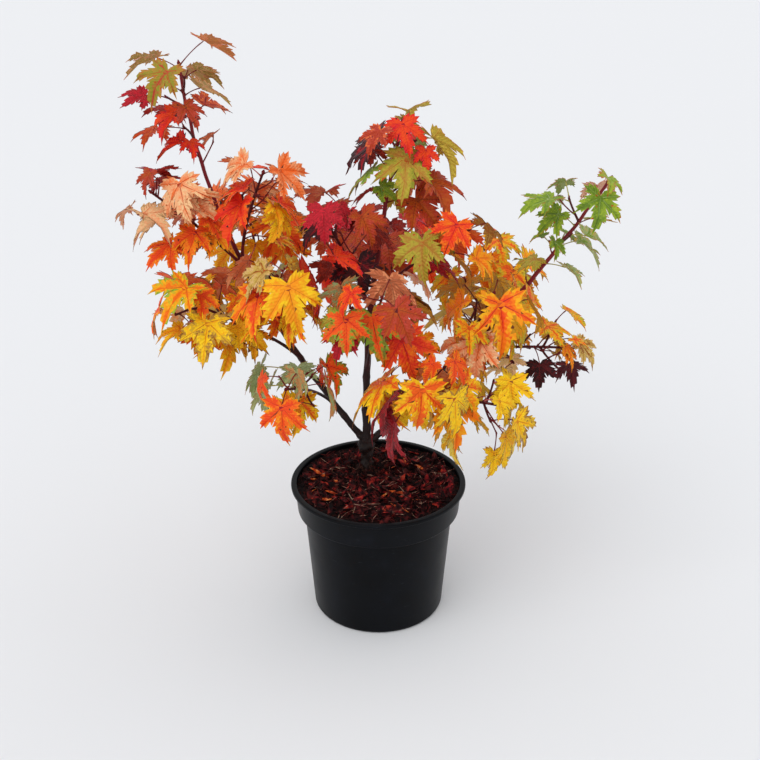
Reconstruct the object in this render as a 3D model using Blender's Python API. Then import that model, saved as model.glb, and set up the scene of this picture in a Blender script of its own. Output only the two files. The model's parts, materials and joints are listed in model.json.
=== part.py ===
"""A young freeman maple in its nursery pot, in autumn leaf.

Metres, +Z up. The origin is the middle of the pot's flat underside, and +Y points away from the viewer.
Three leaders rise from a short trunk. Each leader carries side branches, and every branch ends where it
enters its own mass of foliage. A mass is one stem with twigs and leaves, grown by a seeded rule.
"""

import math
import random

import bmesh
import bpy
from mathutils import Matrix, Vector
from mathutils.bvhtree import BVHTree

MM = 0.001
UP = Vector((0, 0, 1))
GAP = 0.3 * MM  # left between solids that touch
MERGE = 0.002 * MM  # points closer than this are one

# Pot: a thin-walled nursery pot with a deep collar under its lip
POT_HEIGHT = 168 * MM
RIM_R = 105 * MM
LIP = 4 * MM
COLLAR_TOP_R = 100.2 * MM
COLLAR_FOOT_R = 97.4 * MM
COLLAR_DEPTH = 35 * MM
BODY_TOP_R = 90 * MM
BASE_R = 79 * MM
WALL = 2 * MM
FLOOR = 3 * MM
POT_SIDES = 44
DRAIN_HOLES = 8
DRAIN_R = 6 * MM
DRAIN_RING_R = 60 * MM

# Compost: level near the wall, mounded up to the trunk, which stands behind the pot's middle
SOIL_EDGE = 154 * MM
SOIL_SIDES = POT_SIDES // 2
SOIL_RINGS = 6
SOIL_ROUGH = 1.2 * MM
FOOT = Vector((-14, 38, 165)) * MM
FOOT_PAD_R = 20 * MM

# Trunk, from its flat cut at the compost to the knobbly crown where the leaders part: share of its height
# and radius in millimetres
TRUNK_HEIGHT = 38 * MM
TRUNK_RINGS = ((0, 10.5), (0.10, 8.0), (0.26, 6.2), (0.48, 6.5), (0.68, 8.2), (0.84, 10.8), (0.94, 9.4), (1, 5))
TRUNK_SIDES = 14
ROOT_SHOULDERS = 0.22  # how far the four root shoulders stand out at the foot, as a share of the radius
CROWN_KNOBS = 0.10

# Leaders: heading and lean in degrees (heading 0 is +X, 90 is +Y), then sizes in millimetres.
# split is the share of its length at which the leader enters the foliage at its top.
LEADERS = {
    "centre": dict(heading=10, lean=(-2, 13), bend=0.8, length=400, radius=(5.3, 1.6), split=0.70),
    "left": dict(heading=168, lean=(39, 3), bend=1.4, length=510, radius=(4.3, 1.6), split=0.76),
    "right": dict(heading=-7, lean=(47, 31), bend=0.7, length=440, radius=(4.7, 1.6), split=0.64),
}
LEADER_SIDES = 8
LEADER_STEP = 22 * MM
LEADER_ROOT = 4 * MM  # how deep a leader starts inside the trunk's crown
ZIGZAG = math.radians(2.5)  # turn of a leader at each of its leaf joints
SWAY = math.radians(3.75)

# Masses of foliage, in millimetres: the leader that bears each, how far up it (None: at the leader's own
# tip), the middle and half sizes of its space, the length of its leaf blades, the least and greatest
# droop of its blades in degrees, and its seed
MASSES = {
    "left_top": dict(
        on="left", at=None, middle=(-222, 76, 613), half=(88, 84, 88), blade=66, droop=(0, 35), seed=2
    ),
    "left_outer": dict(
        on="left", at=0.50, middle=(-224, 40, 478), half=(86, 84, 78), blade=72, droop=(5, 50), seed=7
    ),
    "left_inner": dict(
        on="left", at=0.52, middle=(-135, 30, 498), half=(84, 84, 76), blade=74, droop=(5, 50), seed=9
    ),
    "left_low": dict(
        on="left", at=0.26, middle=(-194, 5, 372), half=(94, 90, 78), blade=78, droop=(15, 60), seed=12
    ),
    "left_core": dict(
        on="left", at=0.30, middle=(-108, -15, 402), half=(88, 86, 86), blade=78, droop=(20, 65), seed=13
    ),
    "left_skirt": dict(
        on="left", at=0.12, middle=(-90, -50, 300), half=(74, 84, 80), blade=74, droop=(30, 75), seed=14
    ),
    "left_back": dict(
        on="left", at=0.36, middle=(-150, 150, 415), half=(104, 96, 100), blade=78, droop=(15, 60), seed=11
    ),
    "centre_top": dict(
        on="centre", at=None, middle=(32, 46, 530), half=(88, 90, 86), blade=72, droop=(10, 60), seed=5
    ),
    "centre_left": dict(
        on="centre", at=0.42, middle=(-50, 10, 462), half=(80, 86, 82), blade=76, droop=(10, 60), seed=5
    ),
    "centre_right": dict(
        on="centre", at=0.45, middle=(74, 10, 450), half=(76, 84, 80), blade=72, droop=(10, 60), seed=3
    ),
    "centre_front": dict(
        on="centre", at=0.24, middle=(0, -50, 392), half=(88, 88, 82), blade=80, droop=(20, 70), seed=14
    ),
    "centre_skirt": dict(
        on="centre", at=0.08, middle=(42, -84, 312), half=(86, 88, 82), blade=78, droop=(35, 80), seed=11
    ),
    "centre_back": dict(
        on="centre", at=0.22, middle=(0, 165, 375), half=(104, 100, 104), blade=78, droop=(15, 65), seed=15
    ),
    "right_top": dict(
        on="right", at=None, middle=(204, 8, 490), half=(90, 80, 92), blade=60, droop=(0, 45), seed=1
    ),
    "right_inner": dict(
        on="right", at=0.30, middle=(112, -10, 372), half=(88, 86, 80), blade=76, droop=(15, 65), seed=6
    ),
    "right_skirt": dict(
        on="right", at=0.16, middle=(116, -66, 290), half=(80, 82, 84), blade=76, droop=(35, 80), seed=12
    ),
    "right_outer": dict(
        on="right", at=0.38, middle=(186, 18, 322), half=(82, 80, 72), blade=64, droop=(10, 60), seed=1
    ),
    "right_back": dict(
        on="right", at=0.24, middle=(130, 146, 350), half=(98, 94, 94), blade=78, droop=(15, 65), seed=7
    ),
}

# Side branches, the stems that carry on from them and the twigs
BRANCH_R = 2.3 * MM
BRANCH_SIDES = 5
BRANCH_STEPS = 9
STEM_TIP_R = 1.4 * MM
STEM_SIDES = 3
TWIG_R = 1.3 * MM
TWIG_TIP_R = 1.2 * MM
TWIG_LENGTH = (26 * MM, 46 * MM)
JOINT_STEP = 30 * MM  # from one pair of leaves to the next
PAIR_STAGGER = 3.5 * MM  # between the two leaves of a pair, along their stem

# Leaves: a palmate blade with five lobes on a long stalk
STALK = (0.35, 0.75)  # stalk length as a share of the blade's
STALK_R = 0.8 * MM
STALK_ROOT = 0.55  # the stalk's radius at its root as a share of that at the blade
THICKNESS = 1.1 * MM
HALF_OUTLINE = (  # degrees from the midrib and share of the blade's length, from the tip round to the stalk
    (0, 1.00), (15, 0.70), (27, 0.46), (44, 0.86), (72, 0.42), (101, 0.52), (145, 0.20),
)
CUP, DROP, ROLL = 0.18, 0.22, 0.30  # fold at the midrib, and fall of the tips along and across the blade
HUB = 0.12  # where the blade is thickest, ahead of the stalk, as a share of its length
MOST_LEAVES = 12  # in one mass
TRIES = 10  # attitudes tried for each leaf
SHRINK = 0.965  # with each try
SIZES = (0.82, 1.08)
RISE = (-0.1, 0.7)  # of the stalk
STRAY = (0.35, 0.12)  # radians that a blade's heading strays, and what each try adds
TWIST = 0.35  # radians that a blade turns about its midrib
CLEARANCE = 0.6 * MM  # round everything that a leaf or twig must stay clear of

FINISH = {  # sRGB hex, roughness
    "pot": ("15181C", 0.32),
    "compost": ("3A2119", 0.95),
    "bark": ("33201C", 0.80),
    "left_top": ("C0642A", 0.55), "left_outer": ("DE6A4E", 0.55), "left_inner": ("E4432F", 0.55),
    "left_low": ("EE9A22", 0.55), "left_core": ("E8731E", 0.55), "left_skirt": ("EFA528", 0.55),
    "left_back": ("E07A24", 0.55), "centre_top": ("A9B83A", 0.55), "centre_left": ("C01F33", 0.55),
    "centre_right": ("E2572E", 0.55), "centre_front": ("A51F27", 0.55), "centre_skirt": ("F0B420", 0.55),
    "centre_back": ("D9562B", 0.55), "right_top": ("6FA03C", 0.55), "right_inner": ("F0921E", 0.55),
    "right_skirt": ("F2C22A", 0.55), "right_outer": ("6B2A2E", 0.55), "right_back": ("EDA42A", 0.55),
}


def linear(hex_colour):
    """Turns an sRGB hex colour into the linear values that a shader reads."""
    parts = [int(hex_colour[i : i + 2], 16) / 255 for i in (0, 2, 4)]
    return tuple(c / 12.92 if c <= 0.04045 else ((c + 0.055) / 1.055) ** 2.4 for c in parts) + (1.0,)


def finish(obj, key):
    """Gives an object its own material."""
    colour, roughness = FINISH[key]
    material = bpy.data.materials.new(obj.name)
    material.use_nodes = True
    shader = material.node_tree.nodes["Principled BSDF"]
    shader.inputs["Base Color"].default_value = linear(colour)
    shader.inputs["Roughness"].default_value = roughness
    obj.data.materials.clear()
    obj.data.materials.append(material)


def smooth(obj, degrees):
    """Shades a round piece smooth, with its sharp edges kept."""
    obj.data.shade_smooth()
    obj.data.set_sharp_from_angle(angle=math.radians(degrees))


def solid(name, verts, faces):
    """Makes an object from corner points and faces."""
    mesh = bpy.data.meshes.new(name)
    mesh.from_pydata([tuple(v) for v in verts], [], faces)
    mesh.update()
    obj = bpy.data.objects.new(name, mesh)
    bpy.context.scene.collection.objects.link(obj)
    return obj


def circle(centre, radius, sides, across=Vector((1, 0, 0)), along=Vector((0, 1, 0))):
    """Points of a ring, counter-clockwise from across towards along."""
    turns = [2 * math.pi * i / sides for i in range(sides)]
    return [centre + radius * (math.cos(a) * across + math.sin(a) * along) for a in turns]


def loft(rings):
    """Corner points and faces of a closed shape through rings of equal count, with flat ends."""
    count = len(rings[0])
    verts = [point for ring in rings for point in ring]
    faces = [tuple(reversed(range(count)))]
    for low in range(0, len(verts) - count, count):
        for i in range(count):
            j = (i + 1) % count
            faces.append((low + i, low + j, low + count + j, low + count + i))
    faces.append(tuple(range(len(verts) - count, len(verts))))
    return verts, faces


def tube(path, radii, sides):
    """A tapering tube along a path, its rings carried along without twist."""
    tangent = (path[1] - path[0]).normalized()
    across = tangent.orthogonal().normalized()
    rings = []
    for i, point in enumerate(path):
        ahead = (path[min(i + 1, len(path) - 1)] - path[max(i - 1, 0)]).normalized()
        across.rotate(tangent.rotation_difference(ahead))
        across = (across - across.dot(ahead) * ahead).normalized()
        tangent = ahead
        rings.append(circle(point, radii[i], sides, across, tangent.cross(across)))
    return loft(rings)


def groups_of(bm):
    """Groups of faces that hang together."""
    unseen = set(bm.faces)
    groups = []
    while unseen:
        front = [unseen.pop()]
        group = list(front)
        while front:
            touching = {face for edge in front.pop().edges for face in edge.link_faces} & unseen
            unseen -= touching
            front += touching
            group += touching
        groups.append(group)
    return groups


def cleaned(mesh):
    """Merges doubled points and drops loose scraps and sealed hollows. True if the mesh is then closed."""
    bm = bmesh.new()
    bm.from_mesh(mesh)
    bmesh.ops.remove_doubles(bm, verts=bm.verts, dist=MERGE)
    # A point on a straight edge between two faces would give each of them the same flat triangle
    bmesh.ops.dissolve_verts(bm, verts=[vert for vert in bm.verts if len(vert.link_edges) == 2])
    groups = sorted(groups_of(bm), key=lambda group: sum(face.calc_area() for face in group))
    scraps = [face for group in groups[:-1] for face in group]
    bmesh.ops.delete(bm, geom=scraps, context="FACES")
    bmesh.ops.triangulate(bm, faces=bm.faces)
    bmesh.ops.recalc_face_normals(bm, faces=bm.faces)
    closed = all(len(edge.link_faces) == 2 for edge in bm.edges)
    bm.to_mesh(mesh)
    bm.free()
    return closed


def combine(obj, others, operation):
    """Joins the others to an object, or cuts them from it, in one step, and removes them."""
    group = bpy.data.collections.new(obj.name + "_others")
    bpy.context.scene.collection.children.link(group)
    for other in others:
        bpy.context.scene.collection.objects.unlink(other)
        group.objects.link(other)
    step = obj.modifiers.new(operation.title(), "BOOLEAN")
    step.operation = operation
    step.operand_type = "COLLECTION"
    step.collection = group
    for solver in ("EXACT", "MANIFOLD"):
        step.solver = solver
        result = bpy.data.meshes.new_from_object(obj.evaluated_get(bpy.context.evaluated_depsgraph_get()))
        if cleaned(result):
            break
    obj.modifiers.clear()
    obj.data = result
    for other in others:
        bpy.data.objects.remove(other)
    bpy.data.collections.remove(group)


def pot_profile():
    """Radius and height round the pot's wall, from the underside out, up, over the lip and down inside."""
    step = POT_HEIGHT - COLLAR_DEPTH
    under_lip = POT_HEIGHT - LIP
    edge = 0.9 * MM  # rounding of the lip
    return [
        (BASE_R - WALL, 0),
        (BASE_R, FLOOR - edge),
        (BODY_TOP_R, step - WALL),
        (COLLAR_FOOT_R, step),
        (COLLAR_TOP_R, under_lip - edge),
        (RIM_R, under_lip),
        (RIM_R, POT_HEIGHT - edge),
        (RIM_R - edge, POT_HEIGHT),
        (COLLAR_TOP_R - edge, POT_HEIGHT),
        (COLLAR_TOP_R - WALL, POT_HEIGHT - edge),
        (COLLAR_FOOT_R - WALL, step + WALL),
        (BODY_TOP_R - WALL, step),
        (BASE_R - WALL, FLOOR),
    ]


def make_pot():
    """The pot, with drainage holes through its floor."""
    pot = solid("pot", *loft([circle(z * UP, r, POT_SIDES) for r, z in pot_profile()]))
    drills = []
    for i in range(DRAIN_HOLES):
        turn = 2 * math.pi * (i + 0.5) / DRAIN_HOLES
        spot = DRAIN_RING_R * Vector((math.cos(turn), math.sin(turn), 0))
        drills.append(solid(f"drill_{i}", *loft([circle(spot + z * UP, DRAIN_R, 8) for z in (-FLOOR, 2 * FLOOR)])))
    combine(pot, drills, "DIFFERENCE")
    finish(pot, "pot")
    smooth(pot, 35)


def make_compost():
    """The compost that fills the pot, with a flat pad where the trunk stands on it."""
    rng = random.Random(5)
    inside = [(r - GAP, z + GAP) for r, z in reversed(pot_profile()[-3:])]
    (foot_r, step), (top_r, top) = inside[-1], pot_profile()[-4]
    edge_r = foot_r + (top_r - GAP - foot_r) * (SOIL_EDGE - step) / (top - step)
    rings = [circle(z * UP, r, SOIL_SIDES) for r, z in inside + [(edge_r, SOIL_EDGE)]]
    for i in range(1, SOIL_RINGS + 1):
        share = i / SOIL_RINGS
        mound = 0.5 - 0.5 * math.cos(math.pi * share)
        middle = Vector((FOOT.x * share, FOOT.y * share, SOIL_EDGE + (FOOT.z - GAP - SOIL_EDGE) * mound))
        ring = circle(middle, edge_r + (FOOT_PAD_R - edge_r) * share, SOIL_SIDES)
        if i < SOIL_RINGS:
            ring = [point + rng.uniform(-SOIL_ROUGH, SOIL_ROUGH) * UP for point in ring]
        rings.append(ring)
    compost = solid("compost", *loft(rings))
    finish(compost, "compost")


def trunk_shape(swell=0.0):
    """The trunk: a flared foot with root shoulders, a waist and a knobbly crown."""
    rings = []
    for share, radius in TRUNK_RINGS:
        ring = []
        for i in range(TRUNK_SIDES):
            turn = 2 * math.pi * i / TRUNK_SIDES
            shoulders = 1 + ROOT_SHOULDERS * max(0, 1 - share / 0.3) * math.cos(4 * turn + 0.7)
            knobs = 1 + CROWN_KNOBS * share * math.cos(3 * turn + 1.9)
            reach = radius * MM * shoulders * knobs + swell
            ring.append(FOOT + Vector((reach * math.cos(turn), reach * math.sin(turn), share * TRUNK_HEIGHT)))
        rings.append(ring)
    rings[-1] = [point + swell * UP for point in rings[-1]]
    return loft(rings)


def leader_path(name):
    """Points and radii of a whole leader, from inside the trunk's crown to its topmost bud."""
    plan = LEADERS[name]
    heading = math.radians(plan["heading"])
    level = Vector((math.cos(heading), math.sin(heading), 0))
    length = plan["length"] * MM
    count = round(length / LEADER_STEP)
    first, last = plan["lean"]
    path = [FOOT + (TRUNK_HEIGHT - LEADER_ROOT) * UP]
    for i in range(count):
        lean = math.radians(first + (last - first) * (i / count) ** plan["bend"]) + ZIGZAG * (-1) ** i
        sway = SWAY * math.sin(1.9 * i)
        step = math.cos(lean) * UP + math.sin(lean) * level + math.sin(sway) * UP.cross(level)
        path.append(path[-1] + step.normalized() * length / count)
    thick, thin = plan["radius"]
    return path, [MM * (thick + (thin - thick) * (i / count) ** 0.85) for i in range(count + 1)]


def along(path, share):
    """The point at a share of a path's length, and the direction there."""
    place = share * (len(path) - 1)
    i = min(int(place), len(path) - 2)
    return path[i].lerp(path[i + 1], place - i), (path[i + 1] - path[i]).normalized()


def stretch(path, radii, start, end):
    """The part of a path between two shares of its length, with its radii."""
    count = len(path) - 1
    shares = [start] + [i / count for i in range(1, count) if start < i / count < end] + [end]
    sizes = []
    for share in shares:
        i = min(int(share * count), count - 1)
        sizes.append(radii[i] + (radii[i + 1] - radii[i]) * (share * count - i))
    return [along(path, share)[0] for share in shares], sizes


def path_length(path):
    return sum((b - a).length for a, b in zip(path, path[1:]))


def swollen(path, radii, sides, by):
    """A limb made thicker all round, for seating other limbs on it and keeping leaves off it."""
    return tube(path, [radius + by for radius in radii], sides)


def measure(mass, point):
    """How far out a point lies in a mass's space: 0 in the middle, 1 at its edge."""
    offset = point - Vector(mass["middle"]) * MM
    return math.sqrt(sum((o / (h * MM)) ** 2 for o, h in zip(offset, mass["half"])))


def in_space(name, points, heart):
    """True if all points lie in the mass's space, and heart nearer to its middle than to a neighbour's."""
    if any(measure(MASSES[name], point) > 1 for point in points):
        return False
    own = measure(MASSES[name], heart)
    return all(measure(other, heart) > own for key, other in MASSES.items() if key != name)


def branch_path(name, leader):
    """A branch's route from its leader to its mass and on through it, and the share at which it enters."""
    mass = MASSES[name]
    start, upward = along(leader, mass["at"])
    middle = Vector(mass["middle"]) * MM
    reach = middle - start
    way = reach.normalized()
    bend = start + 0.35 * reach.length * (upward + 0.6 * way).normalized()
    end = middle + 0.45 * mass["half"][0] * MM * (way + 0.35 * UP)
    path = []
    for i in range(BRANCH_STEPS + 1):
        t = i / BRANCH_STEPS
        path.append((1 - t) ** 2 * start + 2 * t * (1 - t) * bend + t**2 * end)
    enters = next(i for i in range(2, BRANCH_STEPS) if measure(mass, path[i]) < 0.9)
    return path, (enters + 0.3) / BRANCH_STEPS


def stalk_ring(spot, run, across, girth):
    """The three corners of a leaf stalk: right, left and below."""
    flat = (across - across.dot(run) * run).normalized()
    return [spot + girth * flat, spot - girth * flat, spot - 1.6 * girth * run.cross(flat)]


def leaf_shape(leaf, spare=0.0):
    """A leaf and its stalk as one closed solid, thicker all round by spare."""
    root, joint, (ahead, across, face), blade = leaf
    size = blade + 3 * spare

    def place(degrees, share):
        u = size * share * math.cos(math.radians(degrees))
        w = size * share * math.sin(math.radians(degrees))
        lift = CUP * abs(w) - DROP * u * abs(u) / blade - ROLL * w * w / blade
        return joint + u * ahead + w * across + lift * face

    left = [place(degrees, share) for degrees, share in HALF_OUTLINE]
    right = [place(-degrees, share) for degrees, share in reversed(HALF_OUTLINE[1:])]
    near = stalk_ring(joint - 0.05 * blade * ahead, ahead, across, STALK_R + spare)
    far = stalk_ring(root, (joint - root).normalized(), across, STALK_ROOT * (STALK_R + spare))
    hub = joint + HUB * blade * ahead
    rim = left + near[:2] + right
    half = (THICKNESS / 2 + spare) * face
    verts = rim + [near[2], hub + half, hub - half] + far
    count = len(rim)
    a, b = len(left), len(left) + 1
    low, top, base = count, count + 1, count + 2
    faces = [(top, i, (i + 1) % count) for i in range(count)]
    faces += [(base, (i + 1) % count, i) for i in range(count) if i != a]
    faces += [(base, low, a), (base, b, low)]
    near_ids, far_ids = (a, b, low), (base + 1, base + 2, base + 3)
    for i in range(3):
        j = (i + 1) % 3
        faces.append((far_ids[i], far_ids[j], near_ids[j], near_ids[i]))
    faces.append(far_ids[::-1])
    return verts, faces


def leaf_frame(outward, droop, twist):
    """Directions of a hanging blade: along the midrib, across it and out of its upper face."""
    ahead = math.cos(droop) * outward - math.sin(droop) * UP
    face = math.sin(droop) * outward + math.cos(droop) * UP
    face.rotate(Matrix.Rotation(twist, 3, ahead))
    return ahead, face.cross(ahead).normalized(), face


class Crown:
    """The solids placed so far, for keeping twigs and leaves clear of each other."""

    def __init__(self):
        self.trees = []

    def add(self, shape):
        self.trees.append(BVHTree.FromPolygons(*shape))

    def fits(self, name, shape, heart):
        """True if a shape keeps to its mass's space and touches nothing."""
        if not in_space(name, shape[0], heart):
            return False
        tree = BVHTree.FromPolygons(*shape)
        return not any(tree.overlap(other) for other in self.trees)


def grow_leaf(name, crown, rng, root, leave):
    """Tries a leaf at a joint in several attitudes and returns the first that is clear, or None."""
    mass = MASSES[name]
    heart = Vector(mass["middle"]) * MM
    for attempt in range(TRIES):
        blade = mass["blade"] * MM * rng.uniform(*SIZES) * SHRINK**attempt
        stalk = blade * rng.uniform(*STALK)
        away = (root - heart).normalized() + 1.2 * leave + 0.6 * (root - FOOT).normalized()
        heading = math.atan2(away.y, away.x) + rng.gauss(0, STRAY[0] + STRAY[1] * attempt)
        outward = Vector((math.cos(heading), math.sin(heading), 0))
        joint = root + stalk * (leave + outward + rng.uniform(*RISE) * UP).normalized()
        frame = leaf_frame(outward, math.radians(rng.uniform(*mass["droop"])), rng.gauss(0, TWIST))
        feeler = leaf_shape((root.lerp(joint, 0.2), joint, frame, blade), CLEARANCE)
        if crown.fits(name, feeler, joint):
            crown.add(feeler)
            return root, joint, frame, blade
    return None


def side_ways(direction, turn):
    """The two opposite sideways directions at a leaf joint, turned about the stem."""
    across = direction.cross(Vector((0.15, 0.1, 1))).normalized()
    across.rotate(Matrix.Rotation(turn, 3, direction))
    return across, -across


def grow_twig(name, crown, rng, start, leave, turn):
    """A side twig with a pair of leaves near its end, or nothing where it would touch or bear no leaf."""
    end = start + rng.uniform(*TWIG_LENGTH) * (leave + 0.25 * UP).normalized()
    feeler = tube([start.lerp(end, 0.2), end], [TWIG_R + CLEARANCE] * 2, STEM_SIDES)
    if not crown.fits(name, feeler, end):
        return None, []
    crown.add(feeler)
    run = (end - start).normalized()
    leaves = []
    for k, way in enumerate(side_ways(run, turn + rng.uniform(0, 1.5))):
        root = end - (0.6 + k) * PAIR_STAGGER * run
        leaves.append(grow_leaf(name, crown, rng, root, (run + way).normalized()))
    leaves = [leaf for leaf in leaves if leaf]
    if not leaves:
        crown.trees.pop()
        return None, []
    return (start, end), leaves


def grow_mass(name, crown, path):
    """Grows one mass from its stem's tip down, and returns its twigs and leaves."""
    rng = random.Random(MASSES[name]["seed"])
    joints = max(3, round(path_length(path) / JOINT_STEP))
    turn = rng.uniform(0, math.pi)
    twigs, leaves = [], []
    for i in reversed(range(joints + 1)):
        root, direction = along(path, min(0.12 + 0.88 * i / joints, 0.985))
        turn += math.pi / 2 + rng.gauss(0, 0.2)
        for side, way in enumerate(side_ways(direction, turn)):
            if len(leaves) >= MOST_LEAVES:
                return twigs, leaves[:MOST_LEAVES]
            leave = ((1.3 if i == joints else 0.55) * direction + way).normalized()
            start = root - side * PAIR_STAGGER * direction
            if 0 < i < joints:
                twig, borne = grow_twig(name, crown, rng, start, leave, turn)
                if twig:
                    twigs.append(twig)
                    leaves += borne
                    start = start - 2 * PAIR_STAGGER * direction
            leaf = grow_leaf(name, crown, rng, start, leave)
            if leaf:
                leaves.append(leaf)
    return twigs, leaves


def make_limb(name, path, radii, sides, seats):
    """A tapering limb, cut clear of the neighbours that it is seated on."""
    limb = solid(name, *tube(path, radii, sides))
    combine(limb, [solid(f"{name}_seat_{i}", *seat) for i, seat in enumerate(seats)], "DIFFERENCE")
    finish(limb, "bark")
    smooth(limb, 50)


def make_mass(name, path, radii, twigs, leaves):
    """One mass of foliage: its stem, with the twigs and leaves fused on."""
    mass = solid(f"foliage_{name}", *tube(path, radii, STEM_SIDES))
    shapes = [tube(twig, (TWIG_R, TWIG_TIP_R), STEM_SIDES) for twig in twigs]
    shapes += [leaf_shape(leaf) for leaf in leaves]
    combine(mass, [solid(f"{name}_{i}", *shape) for i, shape in enumerate(shapes)], "UNION")
    finish(mass, name)


def make_tree():
    """The trunk, the leaders, the side branches and the masses of foliage."""
    crown = Crown()
    trunk = solid("trunk", *trunk_shape())
    finish(trunk, "bark")
    smooth(trunk, 50)
    seats = [trunk_shape(swell=GAP)]
    leaders = {name: leader_path(name) for name in LEADERS}
    for name, (path, radii) in leaders.items():
        limb = stretch(path, radii, 0, LEADERS[name]["split"])
        make_limb(f"bough_{name}", *limb, LEADER_SIDES, seats)
        seats.append(swollen(*limb, LEADER_SIDES, GAP))
        crown.add(swollen(*limb, LEADER_SIDES, CLEARANCE))
    stems = {}
    for name, mass in MASSES.items():
        path, radii = leaders[mass["on"]]
        if mass["at"] is None:
            begin = LEADERS[mass["on"]]["split"] + GAP / path_length(path)
            stems[name] = stretch(path, radii, begin, 0.99)
            continue
        path, enter = branch_path(name, path)
        radii = [BRANCH_R + (STEM_TIP_R - BRANCH_R) * i / BRANCH_STEPS for i in range(BRANCH_STEPS + 1)]
        limb = stretch(path, radii, 0, enter)
        make_limb(f"branch_{name}", *limb, BRANCH_SIDES, seats[1:])
        crown.add(swollen(limb[0][1:], limb[1][1:], BRANCH_SIDES, CLEARANCE))
        stems[name] = stretch(path, radii, enter + GAP / path_length(path), 1)
    for path, radii in stems.values():
        crown.add(swollen(path[1:], radii[1:], STEM_SIDES, CLEARANCE))
    for name, (path, radii) in stems.items():
        make_mass(name, path, radii, *grow_mass(name, crown, path))


def main():
    for old in list(bpy.data.objects):
        bpy.data.objects.remove(old)
    make_pot()
    make_compost()
    make_tree()


main()
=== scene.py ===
import json
import math
import random

import bpy
import numpy as np
from mathutils import Matrix, Vector, noise
from mathutils.bvhtree import BVHTree
from mathutils.geometry import delaunay_2d_cdt

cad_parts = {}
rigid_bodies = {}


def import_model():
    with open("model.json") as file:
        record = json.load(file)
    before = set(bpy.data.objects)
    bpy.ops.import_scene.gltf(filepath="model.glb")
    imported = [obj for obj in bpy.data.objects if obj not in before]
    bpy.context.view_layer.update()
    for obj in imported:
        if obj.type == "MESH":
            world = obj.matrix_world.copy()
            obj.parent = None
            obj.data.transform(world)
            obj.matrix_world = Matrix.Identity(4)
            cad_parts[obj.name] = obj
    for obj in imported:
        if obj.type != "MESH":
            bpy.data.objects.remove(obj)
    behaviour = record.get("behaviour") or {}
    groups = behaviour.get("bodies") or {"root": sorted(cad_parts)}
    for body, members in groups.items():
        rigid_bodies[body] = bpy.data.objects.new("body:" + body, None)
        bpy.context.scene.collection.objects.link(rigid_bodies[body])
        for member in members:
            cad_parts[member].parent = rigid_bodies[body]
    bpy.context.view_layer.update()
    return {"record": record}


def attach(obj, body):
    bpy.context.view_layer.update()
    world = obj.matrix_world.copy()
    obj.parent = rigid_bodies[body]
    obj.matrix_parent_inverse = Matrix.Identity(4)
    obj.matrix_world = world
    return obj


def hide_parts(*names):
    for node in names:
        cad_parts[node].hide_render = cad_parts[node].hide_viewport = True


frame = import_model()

# A young freeman maple in autumn leaf, in a black nursery pot of bark compost.
# Metres, +Z up, as in the frame. Sizes in the plans below are in millimetres unless they say otherwise.
mm = 0.001
up = Vector((0, 0, 1))
slotOf = {part["node"]: part["material_slot"] for part in frame["record"]["subparts"]}


def report(words):
    print("maple:", words, flush=True)


def linearColour(hexColour):
    # an sRGB hex value as the linear colour that a shader reads
    parts = [int(hexColour[i : i + 2], 16) / 255 for i in (0, 2, 4)]
    linear = [part / 12.92 if part <= 0.04045 else ((part + 0.055) / 1.055) ** 2.4 for part in parts]
    return (*linear, 1.0)


def addNode(tree, kind, inputs=None, **settings):
    # inputs: a socket's name or place, with its value or with the node or output that feeds it
    node = tree.nodes.new(kind)
    for name, value in settings.items():
        setattr(node, name, value)
    for name, value in (inputs or {}).items():
        if isinstance(value, bpy.types.Node):
            value = value.outputs[0]
        if isinstance(value, bpy.types.NodeSocket):
            tree.links.new(value, node.inputs[name])
        else:
            node.inputs[name].default_value = value
    return node


def newMaterial(name, hexColour, roughness, **sockets):
    # a material with its plain values on the shader's own sockets; returns it with its tree and shader
    material = bpy.data.materials.new(name)
    material.use_nodes = True
    tree = material.node_tree
    shader = tree.nodes["Principled BSDF"]
    shader.inputs["Base Color"].default_value = linearColour(hexColour)
    shader.inputs["Roughness"].default_value = roughness
    for socket, value in sockets.items():
        shader.inputs[socket.replace("_", " ")].default_value = value
    return material, tree, shader


def addNoise(tree, place, scale, detail=2.0):
    # a noise pattern, its scale the number of patches to the metre
    return addNode(tree, "ShaderNodeTexNoise", {"Vector": place, "Scale": scale, "Detail": detail})


def addRelief(tree, shader, pattern, strength, distance):
    # presses a pattern into a material as relief, its distance in metres
    relief = addNode(tree, "ShaderNodeBump", {
        "Strength": strength, "Distance": distance, "Height": pattern,
    })
    tree.links.new(relief.outputs[0], shader.inputs["Normal"])


def varyRoughness(tree, shader, pattern, least, most):
    # lets a pattern carry a material's roughness between two values
    sheen = addNode(tree, "ShaderNodeMapRange", {"Value": pattern, "To Min": least, "To Max": most})
    tree.links.new(sheen.outputs[0], shader.inputs["Roughness"])


def colourRamp(tree, factor, stops):
    # stops: place along the ramp and hex colour
    ramp = addNode(tree, "ShaderNodeValToRGB", {"Fac": factor})
    band = ramp.color_ramp.elements
    while len(band) < len(stops):
        band.new(0.5)
    for element, (place, hexColour) in zip(band, stops):
        element.position = place
        element.color = linearColour(hexColour)
    return ramp


def newObject(name, content):
    # an object in the scene with this mesh, light or camera
    thing = bpy.data.objects.new(name, content)
    bpy.context.scene.collection.objects.link(thing)
    return thing


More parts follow.
